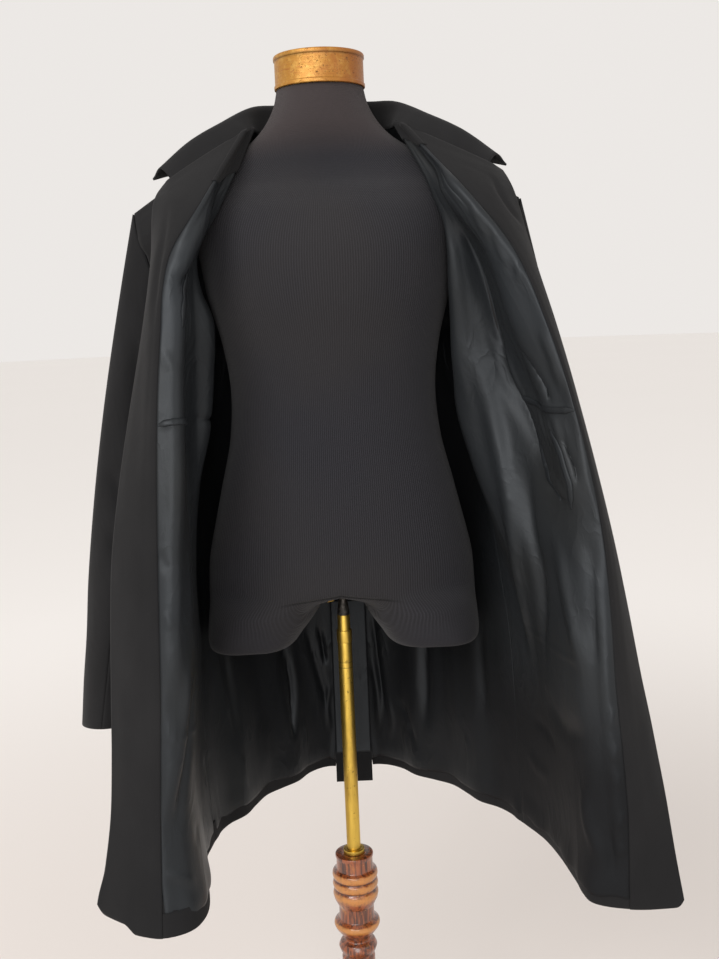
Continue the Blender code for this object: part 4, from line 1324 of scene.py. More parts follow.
@dataclass
class CoatSide:
    """The flat-cut pieces of one side: outer front and back, facing, linings and turned-up hems."""

    side: Side
    cut: CoatCut
    finishes: Finishes
    wrinkles: Wrinkles
    wall: float = 0.002
    lining_wall: float = 0.001
    seam_gap: float = 0.0003
    shoulder_gap: float = 0.0012
    fine: tuple[float, float] = (0.0032, 0.0022)
    plain: tuple[float, float] = (0.0060, 0.0045)
    hem_ease: float = 0.0026
    hem_fall: float = 0.0125
    patch_feet: dict = field(default_factory=lambda: {
        Side.LEFT: (1.354, 1.366), Side.RIGHT: (1.380, 1.386)})
    patch_stations: tuple[float, float] = (1.9, 5.4)
    patch_wall: float = 0.0008
    ply_gap: float = 0.0004
    shoulder_calm: tuple[float, float] = (1.372, 0.03)
    corner: tuple[float, float, float] = (0.34, 0.06, 0.0085)
    left_lift: tuple[float, float] = (1.25, 0.35)
    sag_waves: dict = field(default_factory=lambda: {"front": (4.1, 7.3), "back": (19.0, 33.0)})
    tuck_points: int = 60
    tuck_wall: float = 0.0004
    tuck_profile: tuple = ((-0.0010, 0.0001), (-0.0021, 0.0006), (-0.0017, 0.0014), (0.0, 0.0015),
                           (0.0024, 0.0010), (0.0050, 0.0002))

    def calm(self, surface: Surface, near: tuple[float, float], far: tuple[float, float]) -> np.ndarray:
        """How much of the creases is left towards the seams and the shoulder.

        Args:
            surface: the surface.
            near: the station where the first seam is, and the reach of its calm.
            far: the same of the last seam.

        Returns:
            The share at each point.
        """
        first = eased((surface.stations - near[0]) / near[1])
        last = eased((far[0] - surface.stations) / far[1])
        top = eased((self.shoulder_calm[0] - surface.heights) / self.shoulder_calm[1])
        return top[:, None] * (first * last)[None, :]

    def creased_front(self, pitch: tuple[float, float]) -> Surface:
        """The front's surface with the folds that all its layers share.

        Args:
            pitch: how far apart its rows and columns are.

        Returns:
            The surface.
        """
        surface = self.cut.front_surface(self.side, pitch)
        calm = self.calm(surface, (-1.0, 0.5), (7.0, 0.7))
        push = surface.relief(self.wrinkles.fronts[self.side]) * calm
        return self.rounded_corner(surface.moved(push, surface.facing_out(self.side)))

    def creased_back(self, pitch: tuple[float, float]) -> Surface:
        """The back's surface with the folds that both its layers share.

        Args:
            pitch: how far apart its rows and columns are.

        Returns:
            The surface.
        """
        surface = self.cut.back_surface(self.side, pitch)
        calm = self.calm(surface, (0.0, 0.08), (1.0, 0.05))
        push = surface.relief(self.wrinkles.backs[self.side]) * calm
        return surface.moved(push, surface.facing_out(self.side))

    def rounded_corner(self, surface: Surface) -> Surface:
        """The front with its hem corner rounded and, on the left, its hem a little higher there.

        Args:
            surface: the panel's fine surface.

        Returns:
            The surface with its new corner.
        """
        across, up, rise = self.corner
        low = eased(1.0 - (surface.heights - self.cut.hem_z) / up)[:, None]
        corner = np.clip(1.0 - surface.stations / across, 0.0, 1.0) ** 2.5 * rise
        if self.side is Side.LEFT:
            lift = eased((self.left_lift[0] - surface.stations) / self.left_lift[1])
            corner = corner + lift * rise
        points = surface.points.copy()
        points[:, :, 2] += low * corner[None, :]
        return Surface(points, surface.stations, surface.heights)

    def build(self) -> list[Piece]:
        """Returns:
            The pieces.
        """
        side, word, half = self.side, self.side.word, self.seam_gap / 2
        away, inside = side is Side.LEFT, side is Side.RIGHT
        wool, satin = self.finishes.wool, self.finishes.satin
        front, back = self.creased_front(self.plain), self.creased_back(self.plain)
        fine_front, fine_back = self.creased_front(self.fine), self.creased_back(self.fine)
        outer_front = front.moved(half, front.facing_out(side)).drawn((0, half), (0, half))
        outer_back = back.moved(half, back.facing_out(side)).drawn((0, half), (half, half))
        pieces = []
        for part, laid, hems in (
            ("front", outer_front, self.hem(fine_front, 2.0, "front")),
            ("back", outer_back, self.hem(fine_back, 0.0, "back")),
        ):
            name = f"{part}_{word}"
            piece = lay_cloth(f"coat_{name}", laid, away, self.wall, wool, name)
            as_sheet(piece, laid)
            pieces += [piece, hems]
        facing = fine_front.moved(-half, fine_front.facing_out(side))
        facing = facing.part(facing.heights > 0.0, facing.stations <= 2.0 + 1e-6)
        facing = facing.drawn((0, half), (0, half))
        name = f"facing_{word}"
        piece = lay_cloth(f"coat_{name}", facing, inside, self.lining_wall, wool, name)
        neck = self.neck_facing(fine_front)
        as_sheet(piece, facing)
        pieces += [piece, neck]
        for part, surface, first in (("front", fine_front, 2.0), ("back", fine_back, 0.0)):
            laid = self.lining(surface, first)
            name = f"lining_{part}_{word}"
            piece = lay_cloth(f"coat_{name}", laid, inside, self.lining_wall, satin, name)
            tucks = self.tucks(laid) if first else []
            as_sheet(piece, laid)
            pieces += [piece, *tucks]
        return pieces

    def lining(self, surface: Surface, first: float) -> Surface:
        """The lining's own surface, with the puckers that only it has.

        Args:
            surface: the panel's fine surface.
            first: the station where the lining begins.

        Returns:
            The lining's surface.
        """
        half = self.seam_gap / 2
        out = surface.facing_out(self.side)
        own = self.wrinkles.linings if first > 0.0 else self.wrinkles.back_linings
        push = np.minimum(surface.relief(own[self.side]), 0.0)
        last = surface.stations[-1]
        edges = self.calm(surface, (first, 0.12), (last, 0.12 * last / 7.0 + 0.02))
        start = self.cut.hem_z + self.cut.hem_band
        above = surface.heights - start
        slow, quick = self.sag_waves["front" if first else "back"]
        wave = np.sin(surface.stations * slow + 1.3)
        wave = 0.6 * wave + 0.4 * np.sin(surface.stations * quick)
        ease = np.exp(-(((above - 0.006) / 0.012) ** 2))[:, None] * (1.0 + 0.5 * wave)[None, :]
        laid = surface.moved((push - self.hem_ease * ease) * edges - half, out)
        fall = eased(1.0 - above / 0.030)[:, None] * (1.0 + 0.14 * wave)[None, :]
        laid.points[:, :, 2] -= self.hem_fall * fall
        lined = surface.heights >= start - 1e-9
        laid = laid.part(lined, surface.stations >= first - 1e-6)
        return laid.drawn((0, self.shoulder_gap), (half, half))

    def tucks(self, surface: Surface) -> list[Piece]:
        """The folded edges of the tucks in a front's lining.

        Args:
            surface: the lining's surface.

        Returns:
            The folded strips.
        """
        out = surface.facing_out(self.side)
        inward = Surface(out, surface.stations, surface.heights)
        pieces = []
        count = np.arange(self.tuck_points)
        ends = eased(np.minimum(count, count[::-1]) / 10.0)[:, None]
        for index, line in enumerate(self.wrinkles.tucks[self.side]):
            at = np.linspace(0, len(line) - 1, self.tuck_points)
            places = smooth_through(line, np.arange(len(line)), at)
            run = np.array([surface.spot(*place) for place in places])
            away = -np.array([inward.spot(*place) for place in places])
            up = np.cross(away, np.gradient(run, axis=0))
            up /= np.linalg.norm(up, axis=1, keepdims=True)
            up *= np.sign(up[:, 2:3].mean())
            rows = []
            for rise, lift in self.tuck_profile:
                rows.append(run + up * rise * (0.35 + 0.65 * ends) + away * (0.0009 + lift * ends))
            strip = Surface(np.stack(rows), count, np.arange(len(rows)))
            right_way = np.sign((np.cross(np.gradient(run, axis=0), up) * away).sum())
            name = f"coat_tuck_{self.side.word}_{index + 1}"
            satin = self.finishes.satin
            pieces.append(lay_cloth(name, strip, right_way < 0, self.tuck_wall, satin))
        return pieces

    def neck_facing(self, surface: Surface) -> Piece:
        """The facing's extension over the lining at the neck.

        Args:
            surface: the panel's fine surface.

        Returns:
            The piece.
        """
        patch = surface.moved(-self.seam_gap / 2 - self.lining_wall - self.ply_gap,
                              surface.facing_out(self.side))
        first, last = self.patch_stations
        there = (surface.stations >= first) & (surface.stations <= last)
        near, far = self.patch_feet[self.side]
        patch = patch.part(surface.heights >= near, there)
        share = eased((patch.stations - first) / (last - first))
        feet = near + (far - near) * share
        laid = patch.points.copy()
        for column, foot in enumerate(feet):
            at = np.linspace(foot, patch.heights[-1], len(patch.heights))
            for axis in range(3):
                laid[:, column, axis] = np.interp(at, patch.heights, patch.points[:, column, axis])
        patch = Surface(laid, patch.stations, patch.heights)
        name = f"coat_neck_facing_{self.side.word}"
        return lay_cloth(name, patch, self.side is Side.RIGHT, self.patch_wall, self.finishes.wool)

    def hem(self, surface: Surface, first: float, part: str) -> Piece:
        """The turned-up hem inside a panel, below the lining.

        Args:
            surface: the panel's fine surface.
            first: the station where the strip begins.
            part: the panel's name.

        Returns:
            The strip.
        """
        half = self.seam_gap / 2
        strip = surface.moved(-half, surface.facing_out(self.side))
        below = surface.heights <= self.cut.hem_z + self.cut.hem_band + 1e-9
        strip = strip.part(below, surface.stations >= first - 1e-6)
        strip = strip.drawn((0.0006, half * 2), (half, half))
        name = f"coat_hem_{part}_{self.side.word}"
        return lay_cloth(name, strip, self.side is Side.RIGHT, self.lining_wall, self.finishes.wool)


@dataclass
class Sleeve:
    """The top and under sleeve of one side, an open tube cut along two seams."""

    side: Side
    cut: CoatCut
    finishes: Finishes
    points: int = 20
    rings: int = 8
    cuff_centre: tuple[float, float, float] = (0.315, 0.035, 0.682)
    cuff_half: tuple[float, float] = (0.037, 0.066)
    cuff_slant: float = 0.012
    bulge: float = 0.012
    elbow_forward: float = 0.014
    clear: tuple[float, float] = (0.0010, 0.0050)
    wall: float = 0.002
    overlap: float = 0.0002
    pitch: tuple[float, float] = (0.0065, 0.0042)
    folds: tuple[Crease, ...] = (
        Crease(((0.10, 0.42), (0.22, 0.45), (0.34, 0.44)), 0.0040, 0.012),
        Crease(((0.66, 0.47), (0.78, 0.50), (0.90, 0.49)), 0.0034, 0.012),
        Crease(((0.15, 0.53), (0.26, 0.56), (0.38, 0.58)), 0.0036, 0.010),
        Crease(((0.12, 0.12), (0.20, 0.20), (0.24, 0.32)), 0.0032, 0.012),
        Crease(((0.86, 0.10), (0.80, 0.20), (0.76, 0.30)), 0.0034, 0.012),
        Crease(((0.95, 0.66), (1.02, 0.78), (1.00, 0.92)), 0.0026, 0.012),
        Crease(((0.30, 0.72), (0.33, 0.82), (0.31, 0.94)), 0.0028, 0.012),
    )

    def tube(self) -> np.ndarray:
        """The coarse tube, from the armhole to the cuff, once round and a half more.

        Returns:
            The grid, as rows x columns x 3.
        """
        side = self.side.value
        ring = self.cut.armhole(self.side, self.points)
        angle = np.linspace(0.0, 2 * math.pi, self.points + 1)[:-1]
        low = 0.5 - 0.5 * np.cos(angle)
        ring[:, 0] += side * (self.clear[0] + (self.clear[1] - self.clear[0]) * low)
        cuff = np.stack(
            [
                side * (self.cuff_centre[0] + self.cuff_half[0] * np.cos(angle)),
                self.cuff_centre[1] - self.cuff_half[1] * np.sin(angle),
                self.cuff_centre[2] + self.cuff_slant * np.sin(angle),
            ],
            axis=1,
        )
        rows = []
        for along in np.linspace(0.0, 1.0, self.rings + 1):
            points = ring + (cuff - ring) * along
            bow = math.sin(math.pi * along)
            points[:, 0] += side * self.bulge * bow * np.cos(angle / 2) ** 2
            points[:, 1] -= self.elbow_forward * bow
            rows.append(points)
        tube = self.cut.let_down(np.stack(rows))
        return np.concatenate([tube, tube, tube[:, :1]], axis=1)

    def build(self) -> list[Piece]:
        """Builds both pieces and logs their cut.

        Returns:
            The pieces.
        """
        tube = self.tube()
        stations = np.linspace(0.0, 2.0, tube.shape[1])
        heights = np.linspace(0.0, 1.0, self.rings + 1)
        surface = Surface.through(tube, stations, heights, self.pitch)
        out = surface.facing_out(self.side)
        ends = eased(surface.heights / 0.10) * eased((1.0 - surface.heights) / 0.03)
        push = -surface.relief(self.folds)
        for crease in self.folds:
            again = Crease(tuple((x + 1.0, y) for x, y in crease.line), crease.deep, crease.wide)
            push -= surface.relief((again,))
        surface = surface.moved(push * ends[:, None], out)
        pieces = []
        for part, first, last in (("top", 0.75, 1.25), ("under", 0.25, 0.75)):
            inside = (surface.stations >= first - 1e-6) & (surface.stations <= last + 1e-6)
            laid = surface.part(surface.heights > -1.0, inside)
            laid = laid.drawn((0, 0), (-self.overlap, -self.overlap))
            name, away = f"{part}_sleeve_{self.side.word}", self.side is Side.LEFT
            piece = lay_cloth(f"coat_{name}", laid, away, self.wall, self.finishes.wool, name)
            as_sheet(piece, laid)
            pieces.append(piece)
        return pieces


@dataclass
class Collar:
    """The turned-down collar, one piece round the neck."""

    cut: CoatCut
    finishes: Finishes
    stations: tuple = (
        (0.00, (0.000, 0.084, 1.470), (0.000, 0.128, 1.404)),
        (0.22, (0.060, 0.068, 1.467), (0.086, 0.116, 1.396)),
        (0.47, (0.099, 0.022, 1.456), (0.142, 0.070, 1.392)),
        (0.64, (0.134, -0.014, 1.433), (0.178, 0.030, 1.388)),
        (0.82, (0.172, -0.024, 1.412), (0.204, 0.008, 1.381)),
        (1.00, (0.205, -0.034, 1.385), (0.220, -0.012, 1.375)),
    )
    seam_rise: float = 0.0013
    sewn_under: tuple[float, float, float] = (0.0, 0.0016, -0.0042)
    left_shrink: float = 0.93
    wall: float = 0.0024
    over_roll: tuple[float, float, float] = (0.35, 0.35, 0.18)
    down_fall: float = 0.7
    pitch: tuple[float, float] = (0.0035, 0.0035)

    def half(self, side: Side) -> np.ndarray:
        """Rows of one half: up the stand, over the roll and down the fall.

        Args:
            side: which side of the coat.

        Returns:
            The grid, as rows x columns x 3.
        """
        shrink = self.left_shrink if side is Side.LEFT else 1.0
        scale = np.array((side.value * shrink, 1.0, 1.0))
        seam = self.cut.neck_line(side)
        seam[:, 2] += self.seam_rise
        along = running_length(seam)
        along = along / along[-1]
        knots = [station[0] for station in self.stations]
        roll = smooth_through([station[1] * scale for station in self.stations], knots, along)
        edge = smooth_through([station[2] * scale for station in self.stations], knots, along)
        over = roll + (edge - roll) * self.over_roll
        fall = roll + self.down_fall * (edge - roll)
        return np.stack([seam, 0.5 * (seam + roll), roll, over, fall, edge])

    def build(self) -> list[Piece]:
        """Returns:
            The collar.
        """
        left, right = self.half(Side.LEFT), self.half(Side.RIGHT)
        grid = self.cut.let_down(np.concatenate([left[:, ::-1], right[:, 1:]], axis=1))
        grid[0] += self.sewn_under
        columns = np.linspace(-1.0, 1.0, grid.shape[1])
        surface = Surface.through(grid, columns, np.linspace(0.0, 1.0, len(grid)), self.pitch)
        wool = self.finishes.wool
        piece = lay_cloth("coat_collar", surface, False, self.wall, wool, "collar")
        as_sheet(piece, surface)
        return [piece]


@dataclass
class VentFlap:
    """The narrow underlap that hangs inside the open vent."""

    cut: CoatCut
    finishes: Finishes
    left: float = -0.022
    right: float = 0.029
    top: tuple[float, float] = (0.1602, 0.80)
    foot: tuple[float, float] = (0.100, 0.550)
    sag: float = 0.7
    wall: float = 0.002
    lining_wall: float = 0.0006
    lining_foot: float = 0.582
    ply_gap: float = 0.0004
    columns: int = 4
    rows: int = 8
    pitch: tuple[float, float] = (0.0035, 0.0030)

    def build(self) -> list[Piece]:
        """Returns:
            The pieces.
        """
        across = np.linspace(self.left, self.right, self.columns)
        down = np.linspace(0.0, 1.0, self.rows)
        grid = np.zeros((len(down), len(across), 3))
        reach = self.foot[0] + (self.top[0] - self.foot[0]) * down**self.sag
        grid[:, :, 0] = across[None, :]
        grid[:, :, 1] = reach[:, None]
        grid[:, :, 2] = (self.foot[1] + (self.top[1] - self.foot[1]) * down)[:, None]
        grid = self.cut.let_down(grid)
        surface = Surface.through(grid, across, grid[:, 0, 2], self.pitch)
        wool, satin = self.finishes.wool, self.finishes.satin
        flap = lay_cloth("coat_vent_underlap", surface, False, self.wall, wool, "vent_underlap")
        lined = surface.moved(self.wall + self.ply_gap, surface.facing_out(Side.RIGHT))
        lined = lined.part(surface.heights >= self.lining_foot, surface.stations > -1.0)
        lining = lay_cloth("coat_vent_lining", lined, False, self.lining_wall, satin)
        as_sheet(flap, surface)
        return [flap, lining]


@dataclass
class DressForm:
    """The jersey-covered trunk with its neck and two short thigh stubs."""

    finishes: Finishes
    sections: tuple = (
        (0.868, 0.170, 0.099, 0.112), (0.905, 0.167, 0.100, 0.113), (0.950, 0.157, 0.098, 0.108),
        (1.000, 0.145, 0.095, 0.098), (1.055, 0.132, 0.090, 0.087), (1.116, 0.1275, 0.088, 0.081),
        (1.175, 0.135, 0.098, 0.086), (1.230, 0.149, 0.113, 0.092), (1.280, 0.157, 0.116, 0.096),
        (1.320, 0.168, 0.0990, 0.097), (1.345, 0.170, 0.0764, 0.084), (1.364, 0.160, 0.0555, 0.068),
        (1.382, 0.137, 0.0442, 0.055), (1.400, 0.107, 0.041, 0.048), (1.415, 0.084, 0.044, 0.047),
        (1.432, 0.068, 0.049, 0.050), (1.452, 0.057, 0.051, 0.051), (1.4715, 0.052, 0.050, 0.050),
    )
    stub_levels: tuple = (
        (0.849, 0.020, 0.1705, 0.102, 1.00), (0.828, 0.033, 0.1720, 0.101, 0.86),
        (0.810, 0.046, 0.1728, 0.100, 0.76), (0.799, 0.053, 0.1718, 0.098, 0.72),
        (0.793, 0.060, 0.1680, 0.094, 0.72), (0.7905, 0.070, 0.1590, 0.084, 0.74),
    )
    stub_slant: float = 0.008
    left_inner: float = 0.006
    stub_back: float = 0.004
    points: int = 180
    levels: int = 110
    crotch_strips: int = 24
    stub_rows: int = 6
    blend: tuple[float, float] = (0.862, 0.016)
    blend_rounds: int = 5
    girth_depth: float = 0.66
    girth_ease: float = 0.028

    def trunk(self) -> np.ndarray:
        """The trunk's grid, from the crotch's height to the neck.

        Returns:
            The grid, as rows x columns x 3.
        """
        sections = np.array(self.sections)
        knots = np.arange(len(sections), dtype=float)
        rows = smooth_through(sections, knots, np.linspace(0, knots[-1], self.levels + 1))
        angle = np.linspace(0.0, 2 * math.pi, self.points + 1)
        depth = np.where(np.sin(angle) < 0, rows[:, 2:3], rows[:, 3:4])
        height = np.repeat(rows[:, :1], len(angle), axis=1)
        return np.stack([rows[:, 1:2] * np.cos(angle), depth * np.sin(angle), height], axis=2)

    def stub(self, side: Side, ring: np.ndarray) -> np.ndarray:
        """One stub's grid, from its foot up to the trunk's lowest ring.

        Args:
            side: which side of the coat.
            ring: the trunk's lowest ring.

        Returns:
            The grid, as rows x columns x 3.
        """
        quarter = self.points // 4
        behind, before = ring[quarter], ring[3 * quarter]
        share = np.linspace(0.0, 1.0, self.crotch_strips + 1)[1:-1, None]
        crotch = behind + (before - behind) * share
        if side is Side.RIGHT:
            loop = np.concatenate([ring[3 * quarter : -1], ring[: quarter + 1], crotch])
        else:
            loop = np.concatenate([ring[quarter : 3 * quarter + 1], crotch[::-1]])
        loops = [np.concatenate([loop, loop[:1]])]
        first = self.stub_levels[0][0]
        for height, inner, outer, half_back, power in self.stub_levels:
            low = (first - height) / (first - self.stub_levels[-1][0])
            inner += self.left_inner * low if side is Side.LEFT else 0.0
            half_across = (outer - inner) / 2
            centre = np.array((side.value * (inner + outer) / 2, self.stub_back, height))
            ray = loops[-1] - centre
            angle = np.arctan2(ray[:, 1] / half_back, ray[:, 0] / half_across)
            across = np.sign(np.cos(angle)) * np.abs(np.cos(angle)) ** power
            back = np.sign(np.sin(angle)) * np.abs(np.sin(angle)) ** power
            rise = -self.stub_slant * low * back
            loops.append(centre + np.stack([half_across * across, half_back * back, rise], axis=1))
        coarse = np.stack(loops[::-1])
        knots = np.arange(len(coarse), dtype=float)
        at = np.linspace(0.0, knots[-1], (len(coarse) - 1) * self.stub_rows + 1)
        fine = smooth_through(coarse.reshape(len(coarse), -1), knots, at)
        return fine.reshape(len(at), -1, 3)

    def build(self) -> list[Piece]:
        """Returns:
            The form.
        """
        form = bmesh.new()
        layer = form.loops.layers.uv.new("metres")
        trunk = self.trunk()
        self.wrap(form, trunk)
        for side in Side:
            self.wrap(form, self.stub(side, trunk[0]))
        bmesh.ops.remove_doubles(form, verts=form.verts, dist=1e-5)
        bmesh.ops.holes_fill(form, edges=[edge for edge in form.edges if edge.is_boundary])
        bmesh.ops.recalc_face_normals(form, faces=form.faces)
        middle, reach = self.blend
        near = [vert for vert in form.verts if abs(vert.co.z - middle) < reach]
        for _ in range(self.blend_rounds):
            bmesh.ops.smooth_vert(form, verts=near, factor=0.5, use_axis_x=True, use_axis_y=True,
                                  use_axis_z=True)
        for face in form.faces:
            centre = self.round_share(face.calc_center_median())
            for loop in face.loops:
                share = self.round_share(loop.vert.co)
                share += round(centre - share)
                loop[layer].uv = (share, loop.vert.co.z)
        cover = add_piece("form_jersey", form, self.finishes.jersey)
        return [cover.rides(FORM_BODY, "dress_form")]

    def wrap(self, form: bmesh.types.BMesh, grid: np.ndarray) -> None:
        """Adds a grid of faces and moves it onto a wrapped grid of points.

        Args:
            form: where the faces go.
            grid: the points.
        """
        rows, columns, _ = grid.shape
        made = bmesh.ops.create_grid(form, x_segments=columns - 1, y_segments=rows - 1, size=1.0)
        for vert in made["verts"]:
            column = round((vert.co.x + 1.0) / 2.0 * (columns - 1))
            row = round((vert.co.y + 1.0) / 2.0 * (rows - 1))
            vert.co = grid[row, column]

    def round_share(self, place: Vector) -> float:
        """The share of the way round, even along the girth, from the left of the front."""
        angle = math.atan2(place.y / self.girth_depth, place.x) / (2.0 * math.pi)
        return angle - self.girth_ease * math.sin(4.0 * math.pi * angle)


@dataclass(frozen=True)
class Turning:
    """A turned piece: its outline of (radius, height) from the foot up, outside first."""

    name: str
    outline: tuple[tuple[float, float], ...]
    hollow: bool
    soft: float
    segments: int = 96

    def build(self, finish: Finish) -> Piece:
        """Spins the outline and rounds its edges.

        Args:
            finish: its finish.

        Returns:
            The piece, on no body yet.
        """
        form = bmesh.new()
        corners = [form.verts.new((radius, 0.0, height)) for radius, height in self.outline]
        edges = [form.edges.new(pair) for pair in zip(corners, corners[1:])]
        if self.hollow:
            edges.append(form.edges.new((corners[-1], corners[0])))
        bmesh.ops.spin(form, geom=corners + edges, cent=(0, 0, 0), axis=(0, 0, 1),
                       angle=2 * math.pi, steps=self.segments, use_merge=True)
        bmesh.ops.remove_doubles(form, verts=form.verts, dist=1e-6)
        bmesh.ops.recalc_face_normals(form, faces=form.faces)
        piece = add_piece(self.name, form, finish)
        rounding = piece.obj.modifiers.new("Rounding", "BEVEL")
        rounding.width = self.soft
        rounding.segments = 3
        rounding.limit_method = "ANGLE"
        rounding.angle_limit = math.radians(16)
        rounding.use_clamp_overlap = True
        return piece


@dataclass
class Stand:
    """Cap, pole, fittings, turned column and base."""

    finishes: Finishes
    gap: float = 0.0003
    column: tuple = (
        (0.0400, 0.0403), (0.0400, 0.0500), (0.0310, 0.0700), (0.0300, 0.1000), (0.0240, 0.1500),
        (0.0223, 0.2060), (0.0290, 0.2140), (0.0305, 0.2220), (0.0290, 0.2300), (0.0223, 0.2400),
        (0.0223, 0.3450), (0.0200, 0.3490), (0.0235, 0.3530), (0.0260, 0.3605), (0.0230, 0.3670),
        (0.0172, 0.3690), (0.0172, 0.3720), (0.0290, 0.3880), (0.0310, 0.3930), (0.0300, 0.3970),
        (0.0235, 0.4010), (0.0235, 0.4190), (0.0290, 0.4300), (0.0305, 0.4370), (0.0295, 0.4415),
        (0.0270, 0.4443), (0.0295, 0.4465), (0.0305, 0.4510), (0.0295, 0.4555), (0.0270, 0.4578),
        (0.0295, 0.4600), (0.0305, 0.4645), (0.0295, 0.4690), (0.0242, 0.4720), (0.0242, 0.4870),
        (0.0253, 0.4890), (0.0253, 0.4930),
    )
    base: tuple = (
        (0.0, 0.0), (0.200, 0.0), (0.200, 0.012), (0.1975, 0.0165), (0.194, 0.020),
        (0.185, 0.0225), (0.175, 0.024), (0.110, 0.029), (0.070, 0.034), (0.063, 0.0362),
        (0.0600, 0.0385), (0.0590, 0.040), (0.0, 0.040),
    )
    cap: tuple = (
        (0.0, 1.4718), (0.0541, 1.4718), (0.0544, 1.4726), (0.0544, 1.4758), (0.0533, 1.4768),
        (0.0532, 1.5040), (0.0544, 1.5050), (0.0544, 1.5085), (0.0536, 1.5098), (0.0520, 1.5100),
        (0.0, 1.5100),
    )
    socket: tuple = (
        (0.0079, 0.8235), (0.0070, 0.8320), (0.0054, 0.8400), (0.0054, 0.8506), (0.0095, 0.8506),
        (0.0095, 0.8562), (0.0072, 0.8605), (0.0, 0.8605),
    )
    screw: tuple = (
        (0.0, 0.0), (0.0014, 0.0), (0.0014, 0.0066), (0.0072, 0.0070), (0.0076, 0.0078),
        (0.0068, 0.0156), (0.0058, 0.0168), (0.0, 0.0170),
    )
    lower_radius: float = 0.0091
    lower_bore: float = 0.00808
    lower_bottom: float = 0.330
    lower_top: float = 0.7852
    upper_radius: float = 0.0080
    upper_bore: float = 0.0068
    upper_bottom: float = 0.420
    taper_foot: float = 0.8215
    ring_radius: float = 0.0098
    ring_top: float = 0.8010
    ferrule_radius: float = 0.0140
    ferrule_top: float = 0.4990
    screw_at: tuple[float, float, float] = (-0.0060, 0.0, 0.8490)
    screw_tilt: float = 17.0

    def tube(self, name: str, radius: float, bore: float, bottom: float, top: float) -> Turning:
        """A plain tube's turning."""
        outline = ((bore, bottom), (radius, bottom), (radius, top), (bore, top))
        return Turning(name, outline, True, 0.0004, 64)

    def build(self) -> list[Piece]:
        """Builds every turned piece and puts it on its body.

        Returns:
            The pieces.
        """
        wood, brass = self.finishes.wood, self.finishes.brass
        hole = self.lower_radius + self.gap / 2
        column = self.column + ((hole, 0.4930), (hole, self.lower_bottom - self.gap),
                                (0.0, self.lower_bottom - self.gap))
        socket = ((0.0, self.taper_foot), (0.0079, self.taper_foot)) + self.socket
        made = (
            (Turning("stand_column", ((0.0, 0.0403),) + column, False, 0.0014), wood, STAND_BODY),
            (Turning("stand_base", self.base, False, 0.0010, 128), wood, STAND_BODY),
            (self.tube("stand_lower_tube", self.lower_radius, self.lower_bore, self.lower_bottom,
                       self.lower_top), brass, STAND_BODY),
            (self.tube("stand_clamp_ring", self.ring_radius, self.lower_bore,
                       self.lower_top + self.gap, self.ring_top), brass, STAND_BODY),
            (self.tube("stand_ferrule", self.ferrule_radius, hole, 0.4933, self.ferrule_top),
             brass, STAND_BODY),
            (self.tube("pole_upper_tube", self.upper_radius, self.upper_bore, self.upper_bottom,
                       self.taper_foot), brass, FORM_BODY),
            (Turning("pole_socket", socket, False, 0.0005, 64), self.finishes.iron, FORM_BODY),
            (Turning("form_neck_cap", self.cap, False, 0.0004, 128), self.finishes.gilt,
             FORM_BODY),
        )
        pieces = [
            turning.build(finish).rides(body, turning.name.partition("_")[2])
            for turning, finish, body in made
        ]
        return pieces + [self.set_screw()]

    def set_screw(self) -> Piece:
        """The small brass screw that pinches the pole's top, turned on its own axis.

        Returns:
            The piece.
        """
        piece = Turning("pole_set_screw", self.screw, False, 0.0003, 48).build(self.finishes.brass)
        lean = Matrix.Rotation(-math.radians(90.0 + self.screw_tilt), 4, "Y")
        turn = Matrix.Translation(self.screw_at) @ lean
        piece.obj.data.transform(turn)
        return piece.rides(FORM_BODY)


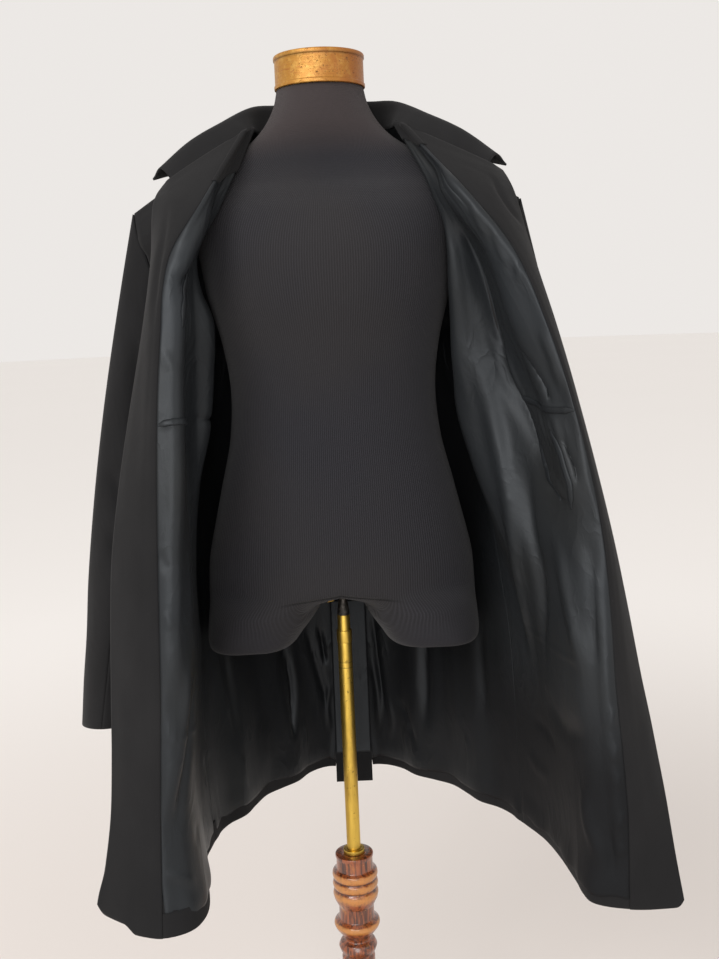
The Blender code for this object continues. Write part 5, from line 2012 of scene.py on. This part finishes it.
@dataclass
class Room:
    """The pale floor, the light and the camera."""

    finishes: Finishes
    floor_radius: float = 30.0
    air: Colour = tone(0.84, 0.81, 0.785)
    strength: float = 1.0

    def build(self) -> None:
        """Builds the room."""
        form = bmesh.new()
        bmesh.ops.create_circle(form, cap_ends=True, segments=128, radius=self.floor_radius)
        add_piece("room_floor", form, self.finishes.room).obj
        world = bpy.data.worlds.new("room_air")
        world.use_nodes = True
        background = world.node_tree.nodes["Background"]
        background.inputs["Color"].default_value = self.air
        background.inputs["Strength"].default_value = self.strength
        bpy.context.scene.world = world
        bpy.context.scene.view_settings.view_transform = "Standard"
        self.lamp("key_light", (-1.6, -2.4, 2.8), (0.1, 0.0, 1.0), 1.6, 66.0, (1.0, 0.99, 0.98))
        self.lamp("front_light", (-0.2, -2.7, 1.5), (0.0, 0.0, 1.05), 1.2, 24.0, (1.0, 1.0, 1.0))
        self.lamp("fill_light", (2.2, -2.0, 2.1), (0.0, 0.0, 1.0), 1.6, 6.0, (0.97, 0.985, 1.0))

    def lamp(self, name: str, at: tuple, towards: tuple, size: float, power: float,
             colour: tuple) -> None:
        """Adds one soft lamp.

        Args:
            name: its name.
            at: where it is.
            towards: where it points.
            size: its width.
            power: its power in watts.
            colour: its colour.
        """
        light = bpy.data.lights.new(name, "AREA")
        light.size = size
        light.energy = power
        light.color = colour
        obj = bpy.data.objects.new(name, light)
        obj.location = at
        obj.rotation_euler = (Vector(towards) - Vector(at)).to_track_quat("-Z", "Y").to_euler()
        obj.visible_camera = False
        bpy.context.scene.collection.objects.link(obj)

    def camera(self, lens: float = 42.0, pitch: float = 9.07, roll: float = -2.4,
               at: tuple = (0.028, -1.40, 1.22)) -> None:
        """Sets the camera as the photo was taken.

        Args:
            lens: its focal length in millimetres on a 36 mm sensor.
            pitch: how far it looks down, in degrees.
            roll: how far it leans, in degrees.
            at: where it is.
        """
        data = bpy.data.cameras.new("photo_camera")
        data.lens = lens
        data.sensor_width = 36.0
        data.clip_start = 0.01
        camera = bpy.data.objects.new("photo_camera", data)
        tilt = Matrix.Rotation(math.radians(90.0 - pitch), 4, "X")
        lean = Matrix.Rotation(math.radians(roll), 4, "Z")
        camera.matrix_world = Matrix.Translation(at) @ tilt @ lean
        bpy.context.scene.collection.objects.link(camera)
        bpy.context.scene.camera = camera


def main() -> None:
    """Builds the coat, the form and the stand in order and reports each piece."""
    logging.basicConfig(level=logging.INFO, format="%(message)s")
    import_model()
    finishes = Finishes()
    cut, wrinkles = CoatCut(), Wrinkles()
    room = Room(finishes)
    room.build()
    room.camera()
    pieces = DressForm(finishes).build() + Stand(finishes).build()
    for side in Side:
        pieces += CoatSide(side, cut, finishes, wrinkles).build()
        pieces += Sleeve(side, cut, finishes).build()
    pieces += Collar(cut, finishes).build() + VentFlap(cut, finishes).build()
    log.info("%d pieces", len(pieces))


if __name__ == "__main__":
    main()
